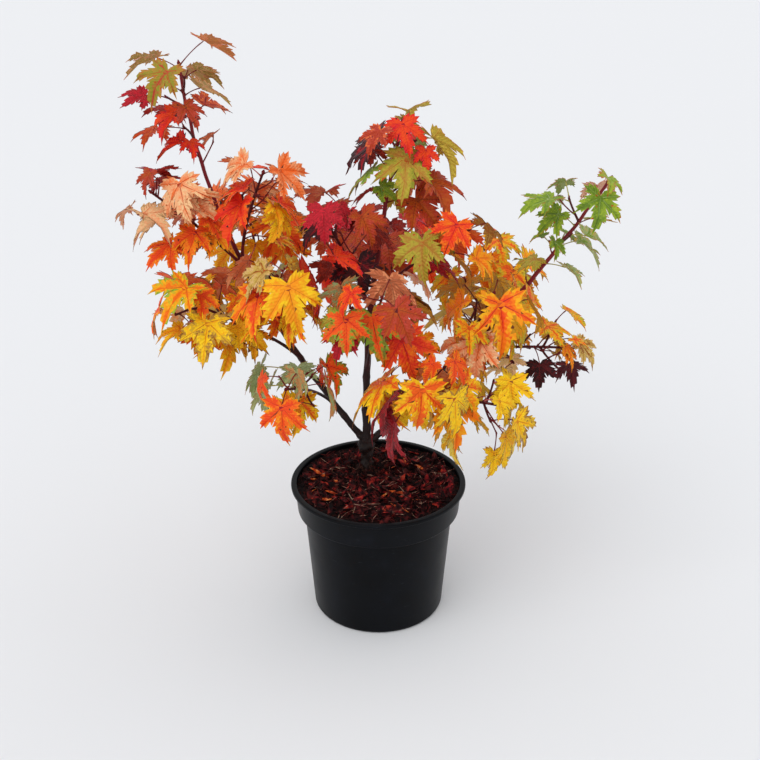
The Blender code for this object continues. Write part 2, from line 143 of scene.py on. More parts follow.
def meshPiece(name, points, faces, materials, slots=None, corners=None, sharp=50):
    # a smooth-shaded object, with creases sharper than that many degrees kept
    mesh = bpy.data.meshes.new(name)
    mesh.from_pydata(points, [], faces)
    for material in materials:
        mesh.materials.append(material)
    if slots:
        mesh.polygons.foreach_set("material_index", slots)
    if corners:
        mesh.uv_layers.new(name="veinMap").data.foreach_set("uv", corners)
    mesh.shade_smooth()
    mesh.set_sharp_from_angle(angle=math.radians(sharp))
    mesh.update()
    return newObject(name, mesh)


def keepPiece(piece, slot, *nodes):
    # ties a finished piece to the plant, in the place of the solids that it stands for
    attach(piece, "root")
    if nodes:
        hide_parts(*nodes)
    piece.data.calc_loop_triangles()
    report(f"{piece.name}: {len(piece.data.loop_triangles)} triangles")


def plainMesh(piece):
    # what an object's modifiers make of it, as its own plain mesh
    bpy.context.view_layer.update()
    shape = piece.evaluated_get(bpy.context.evaluated_depsgraph_get())
    old = piece.data
    piece.data = bpy.data.meshes.new_from_object(shape)
    piece.modifiers.clear()
    bpy.data.meshes.remove(old)


def circle(centre, radius, sides, across=Vector((1, 0, 0)), along=Vector((0, 1, 0))):
    turns = [2 * math.pi * i / sides for i in range(sides)]
    return [centre + radius * (math.cos(turn) * across + math.sin(turn) * along) for turn in turns]


def arch(start, middle, end, share):
    # the point at a share of the curve from start to end that bends towards middle
    return (1 - share) ** 2 * start + 2 * share * (1 - share) * middle + share**2 * end


def loft(rings):
    # a closed shape through rings of equal count, with flat ends
    count = len(rings[0])
    points = [point for ring in rings for point in ring]
    faces = [tuple(reversed(range(count)))]
    for low in range(0, len(points) - count, count):
        for i in range(count):
            j = (i + 1) % count
            faces.append((low + i, low + j, low + count + j, low + count + i))
    faces.append(tuple(range(len(points) - count, len(points))))
    return points, faces


def tube(path, radii, sides):
    # a tapering tube along a path, its rings carried along without twist
    tangent = (path[1] - path[0]).normalized()
    across = tangent.orthogonal().normalized()
    rings = []
    for i, point in enumerate(path):
        ahead = (path[min(i + 1, len(path) - 1)] - path[max(i - 1, 0)]).normalized()
        across.rotate(tangent.rotation_difference(ahead))
        across = (across - across.dot(ahead) * ahead).normalized()
        tangent = ahead
        rings.append(circle(point, radii[i], sides, across, tangent.cross(across)))
    return loft(rings)


class Sheaf:
    # many small shapes gathered into one piece, each face with the name of its colour

    def __init__(self):
        self.points, self.faces, self.colours, self.corners = [], [], [], []

    def add(self, points, faces, colours):
        first = len(self.points)
        self.points += [tuple(point) for point in points]
        self.faces += [tuple(first + i for i in face) for face in faces]
        self.colours += [colours] * len(faces) if isinstance(colours, str) else colours

    def piece(self, name, finish, sharp=50):
        used = sorted(set(self.colours))
        places = {colour: i for i, colour in enumerate(used)}
        slots = [places[colour] for colour in self.colours]
        materials = [finish(colour) for colour in used]
        return meshPiece(name, self.points, self.faces, materials, slots, self.corners, sharp)


# The photograph's view: a little over a metre and a half away, looking down at about 26 degrees. The tilt
# is in degrees from straight down
cameraView = dict(sensor=36, lens=61.58, place=(2.05, -1361, 953.6), tilt=64.4)

# A pale seamless floor in an even room that meets it without a line, and two wide soft suns that shape the
# leaves. Headings and heights in degrees, sizes in millimetres
studio = dict(
    floor="E2E3E5",
    floorSize=24000,
    sky="F3F4F6",
    skyStrength=0.95,
    suns=dict(
        keySun=dict(heading=-125, height=50, strength=0.90, spread=48),
        fillSun=dict(heading=35, height=50, strength=0.20, spread=50),
    ),
)


def makeStudio():
    lens = bpy.data.cameras.new("camera")
    lens.sensor_width = cameraView["sensor"]
    lens.lens = cameraView["lens"]
    lens.clip_end = 100
    camera = newObject("camera", lens)
    camera.location = Vector(cameraView["place"]) * mm
    camera.rotation_euler = (math.radians(cameraView["tilt"]), 0, 0)
    bpy.context.scene.camera = camera

    paper, tree, shader = newMaterial("mattBackdropPaper", studio["floor"], 0.9)
    grain = addNode(tree, "ShaderNodeTexNoise", {"Scale": 300.0})  # paper tooth, about 3 mm
    addRelief(tree, shader, grain, 0.02, 0.0002)
    half = studio["floorSize"] / 2 * mm
    corners = [(-half, -half, 0), (half, -half, 0), (half, half, 0), (-half, half, 0)]
    floor = meshPiece("studioFloor", corners, [(0, 1, 2, 3)], [paper])

    world = bpy.data.worlds.new("softRoom")
    world.use_nodes = True
    sky = world.node_tree.nodes["Background"]
    sky.inputs["Color"].default_value = linearColour(studio["sky"])
    sky.inputs["Strength"].default_value = studio["skyStrength"]
    bpy.context.scene.world = world
    for name, plan in studio["suns"].items():
        sun = bpy.data.lights.new(name, "SUN")
        sun.energy = plan["strength"]
        sun.angle = math.radians(plan["spread"])
        around, above = math.radians(plan["heading"]), math.radians(plan["height"])
        level = math.cos(above)
        way = Vector((level * math.cos(around), level * math.sin(around), math.sin(above)))
        lamp = newObject(name, sun)
        lamp.location = 5 * way
        lamp.rotation_euler = way.to_track_quat("Z", "Y").to_euler()
    bpy.context.scene.view_settings.view_transform = "Standard"
    report("studio set")


# Nursery pot: thin-walled, with a deep collar under its lip, standing on a foot ring. Radii from its middle
potPlan = dict(
    height=168, rim=105, lip=4, collarTop=100.2, collarFoot=97.4, collarDepth=35, bodyTop=90, base=79,
    wall=2.0, floor=3, footRing=9, recess=1.1, sides=160, drainHoles=8, drainRadius=6, drainRing=60,
    drainSides=24,
)


def roundedLine(marks, steps=5):
    # a line through marks of (radius, height, rounding), each corner turned with its own rounding
    points = [Vector((mark[0], mark[1])) for mark in marks]
    line = [points[0]]
    for i in range(1, len(points) - 1):
        back, ahead = points[i - 1] - points[i], points[i + 1] - points[i]
        reach = min(marks[i][2], 0.45 * back.length, 0.45 * ahead.length)
        start, end = points[i] + reach * back.normalized(), points[i] + reach * ahead.normalized()
        for k in range(steps):
            line.append(arch(start, points[i], end, k / (steps - 1)))
    return line + [points[-1]]


def makePot():
    plan = potPlan
    height, base, wall = plan["height"], plan["base"], plan["wall"]
    collarTop, collarFoot, bodyTop = plan["collarTop"], plan["collarFoot"], plan["bodyTop"]
    step, under = height - plan["collarDepth"], height - plan["lip"]
    inner = base - plan["footRing"]
    profile = roundedLine([
        (0.0, plan["recess"], 0), (inner - 1, plan["recess"], 0.6), (inner, 0, 0.8),
        (base - 2.2, 0, 2.5), (base, 3.0, 3.0),
        (bodyTop - 0.6, step - 2.4, 1.2), (bodyTop + 0.4, step, 0.5), (collarFoot, step, 1.6),
        (collarTop, under - 0.8, 1.2), (plan["rim"], under, 1.0), (plan["rim"], height, 1.4),
        (collarTop - wall, height, 1.4), (collarFoot - wall, step + wall, 1.6),
        (bodyTop - wall, step, 1.6), (base - wall, plan["floor"], 2.5), (0.0, plan["floor"], 0),
    ])
    sides = plan["sides"]
    points = [(0, 0, profile[0].y * mm)]
    for spot in profile[1:-1]:
        points += [tuple(point) for point in circle(spot.y * mm * up, spot.x * mm, sides)]
    points.append((0, 0, profile[-1].y * mm))
    faces = [(0, 1 + (i + 1) % sides, 1 + i) for i in range(sides)]
    rings = len(profile) - 2
    for ring in range(rings - 1):
        low = 1 + ring * sides
        for i in range(sides):
            j = (i + 1) % sides
            faces.append((low + i, low + j, low + sides + j, low + sides + i))
    last = 1 + (rings - 1) * sides
    faces += [(last + i, last + (i + 1) % sides, last + sides) for i in range(sides)]
    pot = meshPiece("potShell", points, faces, [potPlastic()], sharp=35)

    drills = bpy.data.collections.new("drills")
    bpy.context.scene.collection.children.link(drills)
    for i in range(plan["drainHoles"]):
        turn = 2 * math.pi * (i + 0.5) / plan["drainHoles"]
        spot = plan["drainRing"] * mm * Vector((math.cos(turn), math.sin(turn), 0))
        drillEnds = (-plan["floor"], plan["floor"] + 5)
        ends = [circle(spot + z * mm * up, plan["drainRadius"] * mm, plan["drainSides"]) for z in drillEnds]
        corners, sheets = loft(ends)
        mesh = bpy.data.meshes.new("drill")
        mesh.from_pydata(corners, [], sheets)
        drills.objects.link(bpy.data.objects.new("drill", mesh))
    cut = pot.modifiers.new("drainHoles", "BOOLEAN")
    cut.operation = "DIFFERENCE"
    cut.operand_type = "COLLECTION"
    cut.collection = drills
    plainMesh(pot)
    for drill in list(drills.objects):
        bpy.data.objects.remove(drill)
    bpy.data.collections.remove(drills)
    pot.data.set_sharp_from_angle(angle=math.radians(35))
    keepPiece(pot, "pot", "pot")


def potPlastic():
    # Injection-moulded polypropylene, recycled black: satin, faintly blue, with a film of dust and pale
    # rubs
    material, tree, shader = newMaterial("satinPolypropylene", "0C0E11", 0.36, Specular_IOR_Level=0.09)
    spot = addNode(tree, "ShaderNodeTexCoord").outputs["Object"]
    film = addNoise(tree, spot, 28.0, 4.0)  # 35 mm patches
    # pale rubs that run round the pot
    drawn = addNode(tree, "ShaderNodeMapping", {"Vector": spot, "Scale": (90.0, 90.0, 420.0)})
    rubs = addNode(tree, "ShaderNodeTexNoise", {
        "Vector": drawn, "Scale": 1.0, "Detail": 6.0, "Roughness": 0.7,
    })
    dust = colourRamp(tree, film, ((0.35, "06070A"), (0.62, "090B10"), (0.80, "10131A")))
    rubbed = addNode(tree, "ShaderNodeMapRange", {
        "Value": rubs, "From Min": 0.64, "From Max": 0.74, "To Max": 0.6,
    })
    colour = addNode(tree, "ShaderNodeMix", {
        0: rubbed, 6: dust, 7: linearColour("3E4247"),
    }, data_type="RGBA")
    tree.links.new(colour.outputs[2], shader.inputs["Base Color"])
    varyRoughness(tree, shader, film, 0.27, 0.47)
    grain = addNoise(tree, spot, 900.0, 2.0)  # mould's, 1 mm
    addRelief(tree, shader, grain, 0.12, 0.0002)
    return material


# Compost: level near the wall, mounded up to the trunk, which stands behind the pot's middle
bedPlan = dict(
    edge=163, foot=Vector((-14, 38, 165)), pad=20, rings=70, padRings=10, sides=200, gap=0.3,
    clods=(4.2, 13), crumbs=(1.1, 3.4),
)
# What lies on it. Chips have a length, width and thickness, fibres are so many times as stout as a plain
# one; kinds is how many different shapes there are and first the seed of the first. Then the colour, how
# many to the square metre, the least and greatest scale, the greatest tilt in degrees, how far it is
# raised, and how far it keeps from the wall (inset) or strays from the trunk (around)
litterPlan = {
    "barkChips": dict(
        chip=(14, 6.2, 1.8), kinds=9, first=0, colour="chipBrown", count=13000, scale=(0.6, 1.8), tilt=55,
        lift=0.4, inset=8, seed=3,
    ),
    "redChips": dict(
        chip=(15, 6.0, 1.4), kinds=8, first=40, colour="chipRed", count=4300, scale=(0.5, 2.0), tilt=42,
        lift=1.0, inset=9, seed=8,
    ),
    "orangeChips": dict(
        chip=(15, 4.4, 0.9), kinds=5, first=80, colour="chipOrange", count=500, scale=(0.6, 2.0), tilt=28,
        lift=2.6, inset=14, seed=21,
    ),
    "barkShreds": dict(
        stout=2.2, kinds=8, first=100, colour="chipBrown", count=26000, scale=(0.5, 1.2), tilt=48,
        lift=1.6, inset=10, seed=17,
    ),
    "compostFibres": dict(
        stout=1.0, kinds=7, first=120, colour="fibre", count=8000, scale=(0.5, 1.3), tilt=34,
        lift=2.6, inset=13, seed=13,
    ),
    "rootThreads": dict(
        stout=1.2, kinds=6, first=160, colour="rootHair", count=120000, scale=(0.4, 1.0), tilt=84,
        lift=4.0, around=26, seed=31,
    ),
}


def bedHeight(spot, share):
    # the mound with its clods and crumbs, in metres
    mound = 0.5 - 0.5 * math.cos(math.pi * share)
    level = bedPlan["edge"] + (bedPlan["foot"].z - bedPlan["gap"] - bedPlan["edge"]) * mound
    for rise, width in (bedPlan["clods"], bedPlan["crumbs"]):
        level += rise * noise.noise(spot / (width * mm) + Vector((0, 0, 3)))
    return level * mm


def makeCompost():
    plan, pot = bedPlan, potPlan
    step = pot["height"] - pot["collarDepth"]
    slope = (pot["collarTop"] - pot["collarFoot"]) / pot["collarDepth"]
    wallRadius = pot["collarFoot"] - pot["wall"] - plan["gap"] + slope * (plan["edge"] - step)
    foot = Vector((plan["foot"].x, plan["foot"].y, 0)) * mm
    rings = []
    for radius, height in (
        (pot["base"] - pot["wall"] - plan["gap"], pot["floor"] + plan["gap"]),
        (pot["bodyTop"] - pot["wall"] - plan["gap"], step + plan["gap"]),
        (pot["collarFoot"] - pot["wall"] - plan["gap"], step + pot["wall"] + plan["gap"]),
    ):
        rings.append(circle(height * mm * up, radius * mm, plan["sides"]))
    buried = len(rings)
    for i in range(plan["rings"] + plan["padRings"]):
        share = min(1, i / plan["rings"])
        shrink = 1 - max(0, i - plan["rings"]) / plan["padRings"]
        radius = (wallRadius + (plan["pad"] - wallRadius) * share) * mm * shrink
        ring = circle(share * foot, radius, plan["sides"])
        rings.append([point + bedHeight(point, share) * up for point in ring])
    points, faces = loft(rings)
    bed = meshPiece("compostBed", points, faces, [compostFines()], sharp=60)
    top = faces[plan["sides"] * buried : -1]
    scatterBed = meshPiece("scatterBed", points, top, [])
    for name, litter in litterPlan.items():
        piece = newObject(name, scatterBed.data.copy())
        if "around" in litter:
            scatter(piece, litter, foot, litter["around"])
        else:
            scatter(piece, litter, Vector((0, 0, 0)), wallRadius - litter["inset"])
        keepPiece(piece, "compost")
    bpy.data.objects.remove(scatterBed)
    keepPiece(bed, "compost", "compost")


def scatter(piece, plan, middle, reach):
    # lays a plan's shapes on a piece, within a reach of a middle, and the piece becomes the litter alone
    group = bpy.data.collections.new(piece.name + "Shapes")
    for i in range(plan["kinds"]):
        rng = random.Random(plan["first"] + i)
        corners, sides = chipShape(rng, *plan["chip"]) if "chip" in plan else fibreShape(rng, plan["stout"])
        mesh = bpy.data.meshes.new(f"{piece.name}{i}")
        mesh.from_pydata(corners, [], sides)
        group.objects.link(bpy.data.objects.new(f"{piece.name}{i}", mesh))
    growOn(piece, bpy.data.node_groups.get("scatterLitter") or scatterTree(), {
        "Shapes": group, "Count": plan["count"], "Smallest": plan["scale"][0], "Largest": plan["scale"][1],
        "Tilt": math.radians(plan["tilt"]), "Lift": plan["lift"] * mm, "Seed": plan["seed"],
        "Middle": middle, "Reach": reach * mm, "Finish": barkLitter(plan["colour"]),
    })
    for shape in list(group.objects):
        bpy.data.objects.remove(shape)
    bpy.data.collections.remove(group)
    piece.data.shade_smooth()
    piece.data.set_sharp_from_angle(angle=math.radians(40))


def growOn(piece, tree, values):
    # runs a tree of geometry nodes on a piece with these values, and keeps the result as a plain mesh
    step = piece.modifiers.new(tree.name, "NODES")
    step.node_group = tree
    for socket in tree.interface.items_tree:
        if socket.in_out == "INPUT" and socket.name in values:
            step[socket.identifier] = values[socket.name]
    plainMesh(piece)


def newTree(name, inputs):
    # an empty tree of geometry nodes with named inputs; returns it with its input node
    tree = bpy.data.node_groups.new(name, "GeometryNodeTree")
    tree.interface.new_socket("Geometry", in_out="INPUT", socket_type="NodeSocketGeometry")
    for label, kind in inputs.items():
        tree.interface.new_socket(label, in_out="INPUT", socket_type="NodeSocket" + kind)
    tree.interface.new_socket("Geometry", in_out="OUTPUT", socket_type="NodeSocketGeometry")
    return tree, tree.nodes.new("NodeGroupInput").outputs


def scatterTree():
    # lays shapes at random on a surface, within a reach of a middle, each turned and tilted its own way
    tree, given = newTree("scatterLitter", {
        "Shapes": "Collection", "Count": "Float", "Smallest": "Float", "Largest": "Float", "Tilt": "Float",
        "Lift": "Float", "Middle": "Vector", "Reach": "Float", "Seed": "Int", "Finish": "Material",
    })
    place = addNode(tree, "GeometryNodeInputPosition")
    away = addNode(tree, "ShaderNodeVectorMath", {0: place, 1: given["Middle"]}, operation="SUBTRACT")
    level = addNode(tree, "ShaderNodeVectorMath", {0: away, 1: (1, 1, 0)}, operation="MULTIPLY")
    out = addNode(tree, "ShaderNodeVectorMath", {0: level}, operation="LENGTH").outputs["Value"]
    within = addNode(tree, "FunctionNodeCompare", {"A": out, "B": given["Reach"]}, operation="LESS_THAN")
    spots = addNode(tree, "GeometryNodeDistributePointsOnFaces", {
        "Mesh": given["Geometry"], "Selection": within, "Density": given["Count"], "Seed": given["Seed"],
    })
    shapes = addNode(tree, "GeometryNodeCollectionInfo", {
        "Collection": given["Shapes"], "Separate Children": True, "Reset Children": True,
    })
    lean = addNode(tree, "ShaderNodeMath", {0: given["Tilt"], 1: -1.0}, operation="MULTIPLY")
    least = addNode(tree, "ShaderNodeCombineXYZ", {0: lean, 1: lean, 2: -math.pi})
    most = addNode(tree, "ShaderNodeCombineXYZ", {0: given["Tilt"], 1: given["Tilt"], 2: math.pi})
    turn = addNode(tree, "FunctionNodeRandomValue", {
        "Min": least, "Max": most, "Seed": given["Seed"],
    }, data_type="FLOAT_VECTOR")
    size = addNode(tree, "FunctionNodeRandomValue", {
        2: given["Smallest"], 3: given["Largest"], "Seed": given["Seed"],
    }, data_type="FLOAT")
    laid = addNode(tree, "GeometryNodeInstanceOnPoints", {
        "Points": spots, "Instance": shapes, "Pick Instance": True, "Rotation": turn,
        "Scale": size.outputs[1],
    })
    rise = addNode(tree, "ShaderNodeCombineXYZ", {2: given["Lift"]})
    raised = addNode(tree, "GeometryNodeTranslateInstances", {
        "Instances": laid, "Translation": rise, "Local Space": False,
    })
    real = addNode(tree, "GeometryNodeRealizeInstances", {"Geometry": raised})
    finished = addNode(tree, "GeometryNodeSetMaterial", {"Geometry": real, "Material": given["Finish"]})
    addNode(tree, "NodeGroupOutput", {"Geometry": finished})
    return tree


def chipShape(rng, length, width, thick):
    # a shredded chip of bark: a bent sliver with ragged ends, with five corners round each of its stations
    girths, corners = (0.14, 0.75, 1.0, 0.85, 0.22), 5
    rings = []
    bend, twist = rng.uniform(-0.25, 0.25), rng.uniform(-0.5, 0.5)
    for i, girth in enumerate(girths):
        place = i / (len(girths) - 1) - 0.5
        aside = bend * length * place * place + rng.uniform(-0.4, 0.4)
        middle = Vector((place * length, aside, 0.5 * bend * length * place * place)) * mm
        ring = []
        for k in range(corners):
            turn = 2 * math.pi * k / corners + twist * place
            wide = girth * width / 2 * math.cos(turn) * rng.uniform(0.55, 1.3)
            tall = girth * thick / 2 * math.sin(turn) * rng.uniform(0.7, 1.2)
            ring.append(middle + Vector((rng.uniform(-0.5, 0.5), wide, tall)) * mm)
        rings.append(ring)
    return loft(rings)


def fibreShape(rng, stout):
    # a curling thread of bark, laid along X
    length, thick = rng.uniform(14, 26), stout * rng.uniform(0.22, 0.42)
    curl, phase = rng.uniform(0.05, 0.22), rng.uniform(0, 6)
    path, radii, last = [], [], 7
    for i in range(last + 1):
        share = i / last
        swing = curl * length * math.sin(phase + 3.2 * share)
        rise = 0.35 * curl * length * math.sin(2.4 * share + phase)
        path.append(Vector(((share - 0.5) * length, swing, rise)) * mm)
        radii.append(thick * mm * (1 - 0.6 * abs(2 * i / last - 1)))
    return tube(path, radii, 4)


def compostFines():
    # Damp composted bark, sieved fine: dark wine-brown with rusty crumbs, and near-black patches, laid at
    # random, that are painted shade for the hollows between crumbs and chips
    material, tree, shader = newMaterial("dampCompostedBark", "30100F", 0.88, Specular_IOR_Level=0.12)
    spot = addNode(tree, "ShaderNodeTexCoord").outputs["Object"]
    crumbs = addNode(tree, "ShaderNodeTexVoronoi", {"Vector": spot, "Scale": 420.0})  # crumbs of 2.4 mm
    clods = addNoise(tree, spot, 110.0, 6.0)  # of 9 mm
    shade = addNode(tree, "ShaderNodeSeparateColor", {"Color": crumbs.outputs["Color"]})
    mixed = addNode(tree, "ShaderNodeMath", {0: shade.outputs[0], 1: clods}, operation="MULTIPLY")
    # the lowest, near-black stops are painted shade for the hollows; the rest is the compost's own
    # wine-brown
    stops = ((0.0, "050202"), (0.25, "120506"), (0.45, "290B0A"), (0.62, "3F120F"))
    colour = colourRamp(tree, mixed, stops)
    tree.links.new(colour.outputs[0], shader.inputs["Base Color"])
    addRelief(tree, shader, crumbs.outputs["Distance"], 0.8, 0.0012)
    return material


litterColours = {  # the ramp of each kind of litter, darkest first
    "chipBrown": ("0A0304", "220609", "430E11", "5C1C19"),
    "chipRed": ("2A060A", "560B14", "82141C", "AE3522"),
    "chipOrange": ("8A2A10", "BC4716", "D66A28", "E2A068"),
    "fibre": ("3E1A18", "74403A", "A87868", "D2B49A"),
    "rootHair": ("120807", "21100E", "38201B", "55352C"),
}


def barkLitter(kind):
    # Shredded conifer bark, some of it split to the fresh red-orange inside: matt, streaked along its
    # fibres
    title = "shreddedBark" + kind[0].upper() + kind[1:]
    if title in bpy.data.materials:
        return bpy.data.materials[title]
    shades = litterColours[kind]
    material, tree, shader = newMaterial(title, shades[1], 0.78, Specular_IOR_Level=0.15)
    spot = addNode(tree, "ShaderNodeTexCoord").outputs["Object"]
    patch = addNoise(tree, spot, 150.0, 3.0)  # 7 mm, a chip
    colour = colourRamp(tree, patch, tuple(zip((0.38, 0.47, 0.54, 0.62), shades)))
    tree.links.new(colour.outputs[0], shader.inputs["Base Color"])
    grain = addNoise(tree, spot, 1600.0, 3.0)  # 0.6 mm
    addRelief(tree, shader, grain, 0.7, 0.0006)
    return material


# Trunk: its rings as share of its height and radius, the root shoulders, which fade out at shoulderTop, and
# the bumps of its knobbly crown
trunkPlan = dict(
    height=38, sides=14, roots=4, shoulders=0.22, shoulderTop=0.3, bumps=3, knobs=0.10,
    rings=(
        (0, 10.5), (0.10, 8.0), (0.26, 6.2), (0.48, 6.5), (0.68, 8.2), (0.84, 10.8), (0.94, 9.4), (1, 5),
    ),
)
# Leaders: heading and lean in degrees (heading 0 is +X, 90 is +Y); split is the share of the length at
# which the leader enters the foliage at its top
leaderPlan = dict(
    sides=8, step=22, root=4, zigzag=math.radians(2.5), sway=math.radians(3.75),
    leaders={
        "centre": dict(heading=10, lean=(-2, 13), bend=0.8, length=400, radius=(5.3, 1.6), split=0.70),
        "left": dict(heading=168, lean=(39, 3), bend=1.4, length=510, radius=(4.3, 1.6), split=0.76),
        "right": dict(heading=-7, lean=(47, 31), bend=0.7, length=440, radius=(4.7, 1.6), split=0.64),
    },
)
# Branches: they bow out beside their leader and go on through their mass, which they enter at its edge
branchPlan = dict(
    radius=2.3, sides=5, steps=9, stemTip=1.4, stemSides=3, gap=0.3, bow=0.35, forward=0.6, through=0.45,
    lift=0.35, edge=0.9,
)
# Twigs: a joint every so far along a stem, from this share of it to that, each a pair set apart by the
# stagger; how closely growth follows the stem (at its tip, below it), and how much a twig rises
twigPlan = dict(
    radius=1.3, length=(26, 46), joint=30, first=0.12, last=0.985, stagger=3.5, follow=(1.3, 0.55),
    lift=0.25,
)
# Leaves: a blade with five lobes on a long stalk. The plain leaf is the solid that keeps each one clear
# of the rest; outline is its edge in degrees from the midrib and shares of the blade's length
plainPlan = dict(
    stalk=(0.35, 0.75), stalkRadius=0.8, stalkRoot=0.55, thickness=1.1, hub=0.12,
    outline=((0, 1.00), (15, 0.70), (27, 0.46), (44, 0.86), (72, 0.42), (101, 0.52), (145, 0.20)),
    cup=0.18, drop=0.22, roll=0.30, most=12, tries=10, shrink=0.965, sizes=(0.82, 1.08), rise=(-0.1, 0.7),
    leaveShare=1.2, outShare=0.6, stray=(0.35, 0.12), twist=0.35, clearance=0.6,
)
footPoint = bedPlan["foot"] * mm
clearance = plainPlan["clearance"] * mm

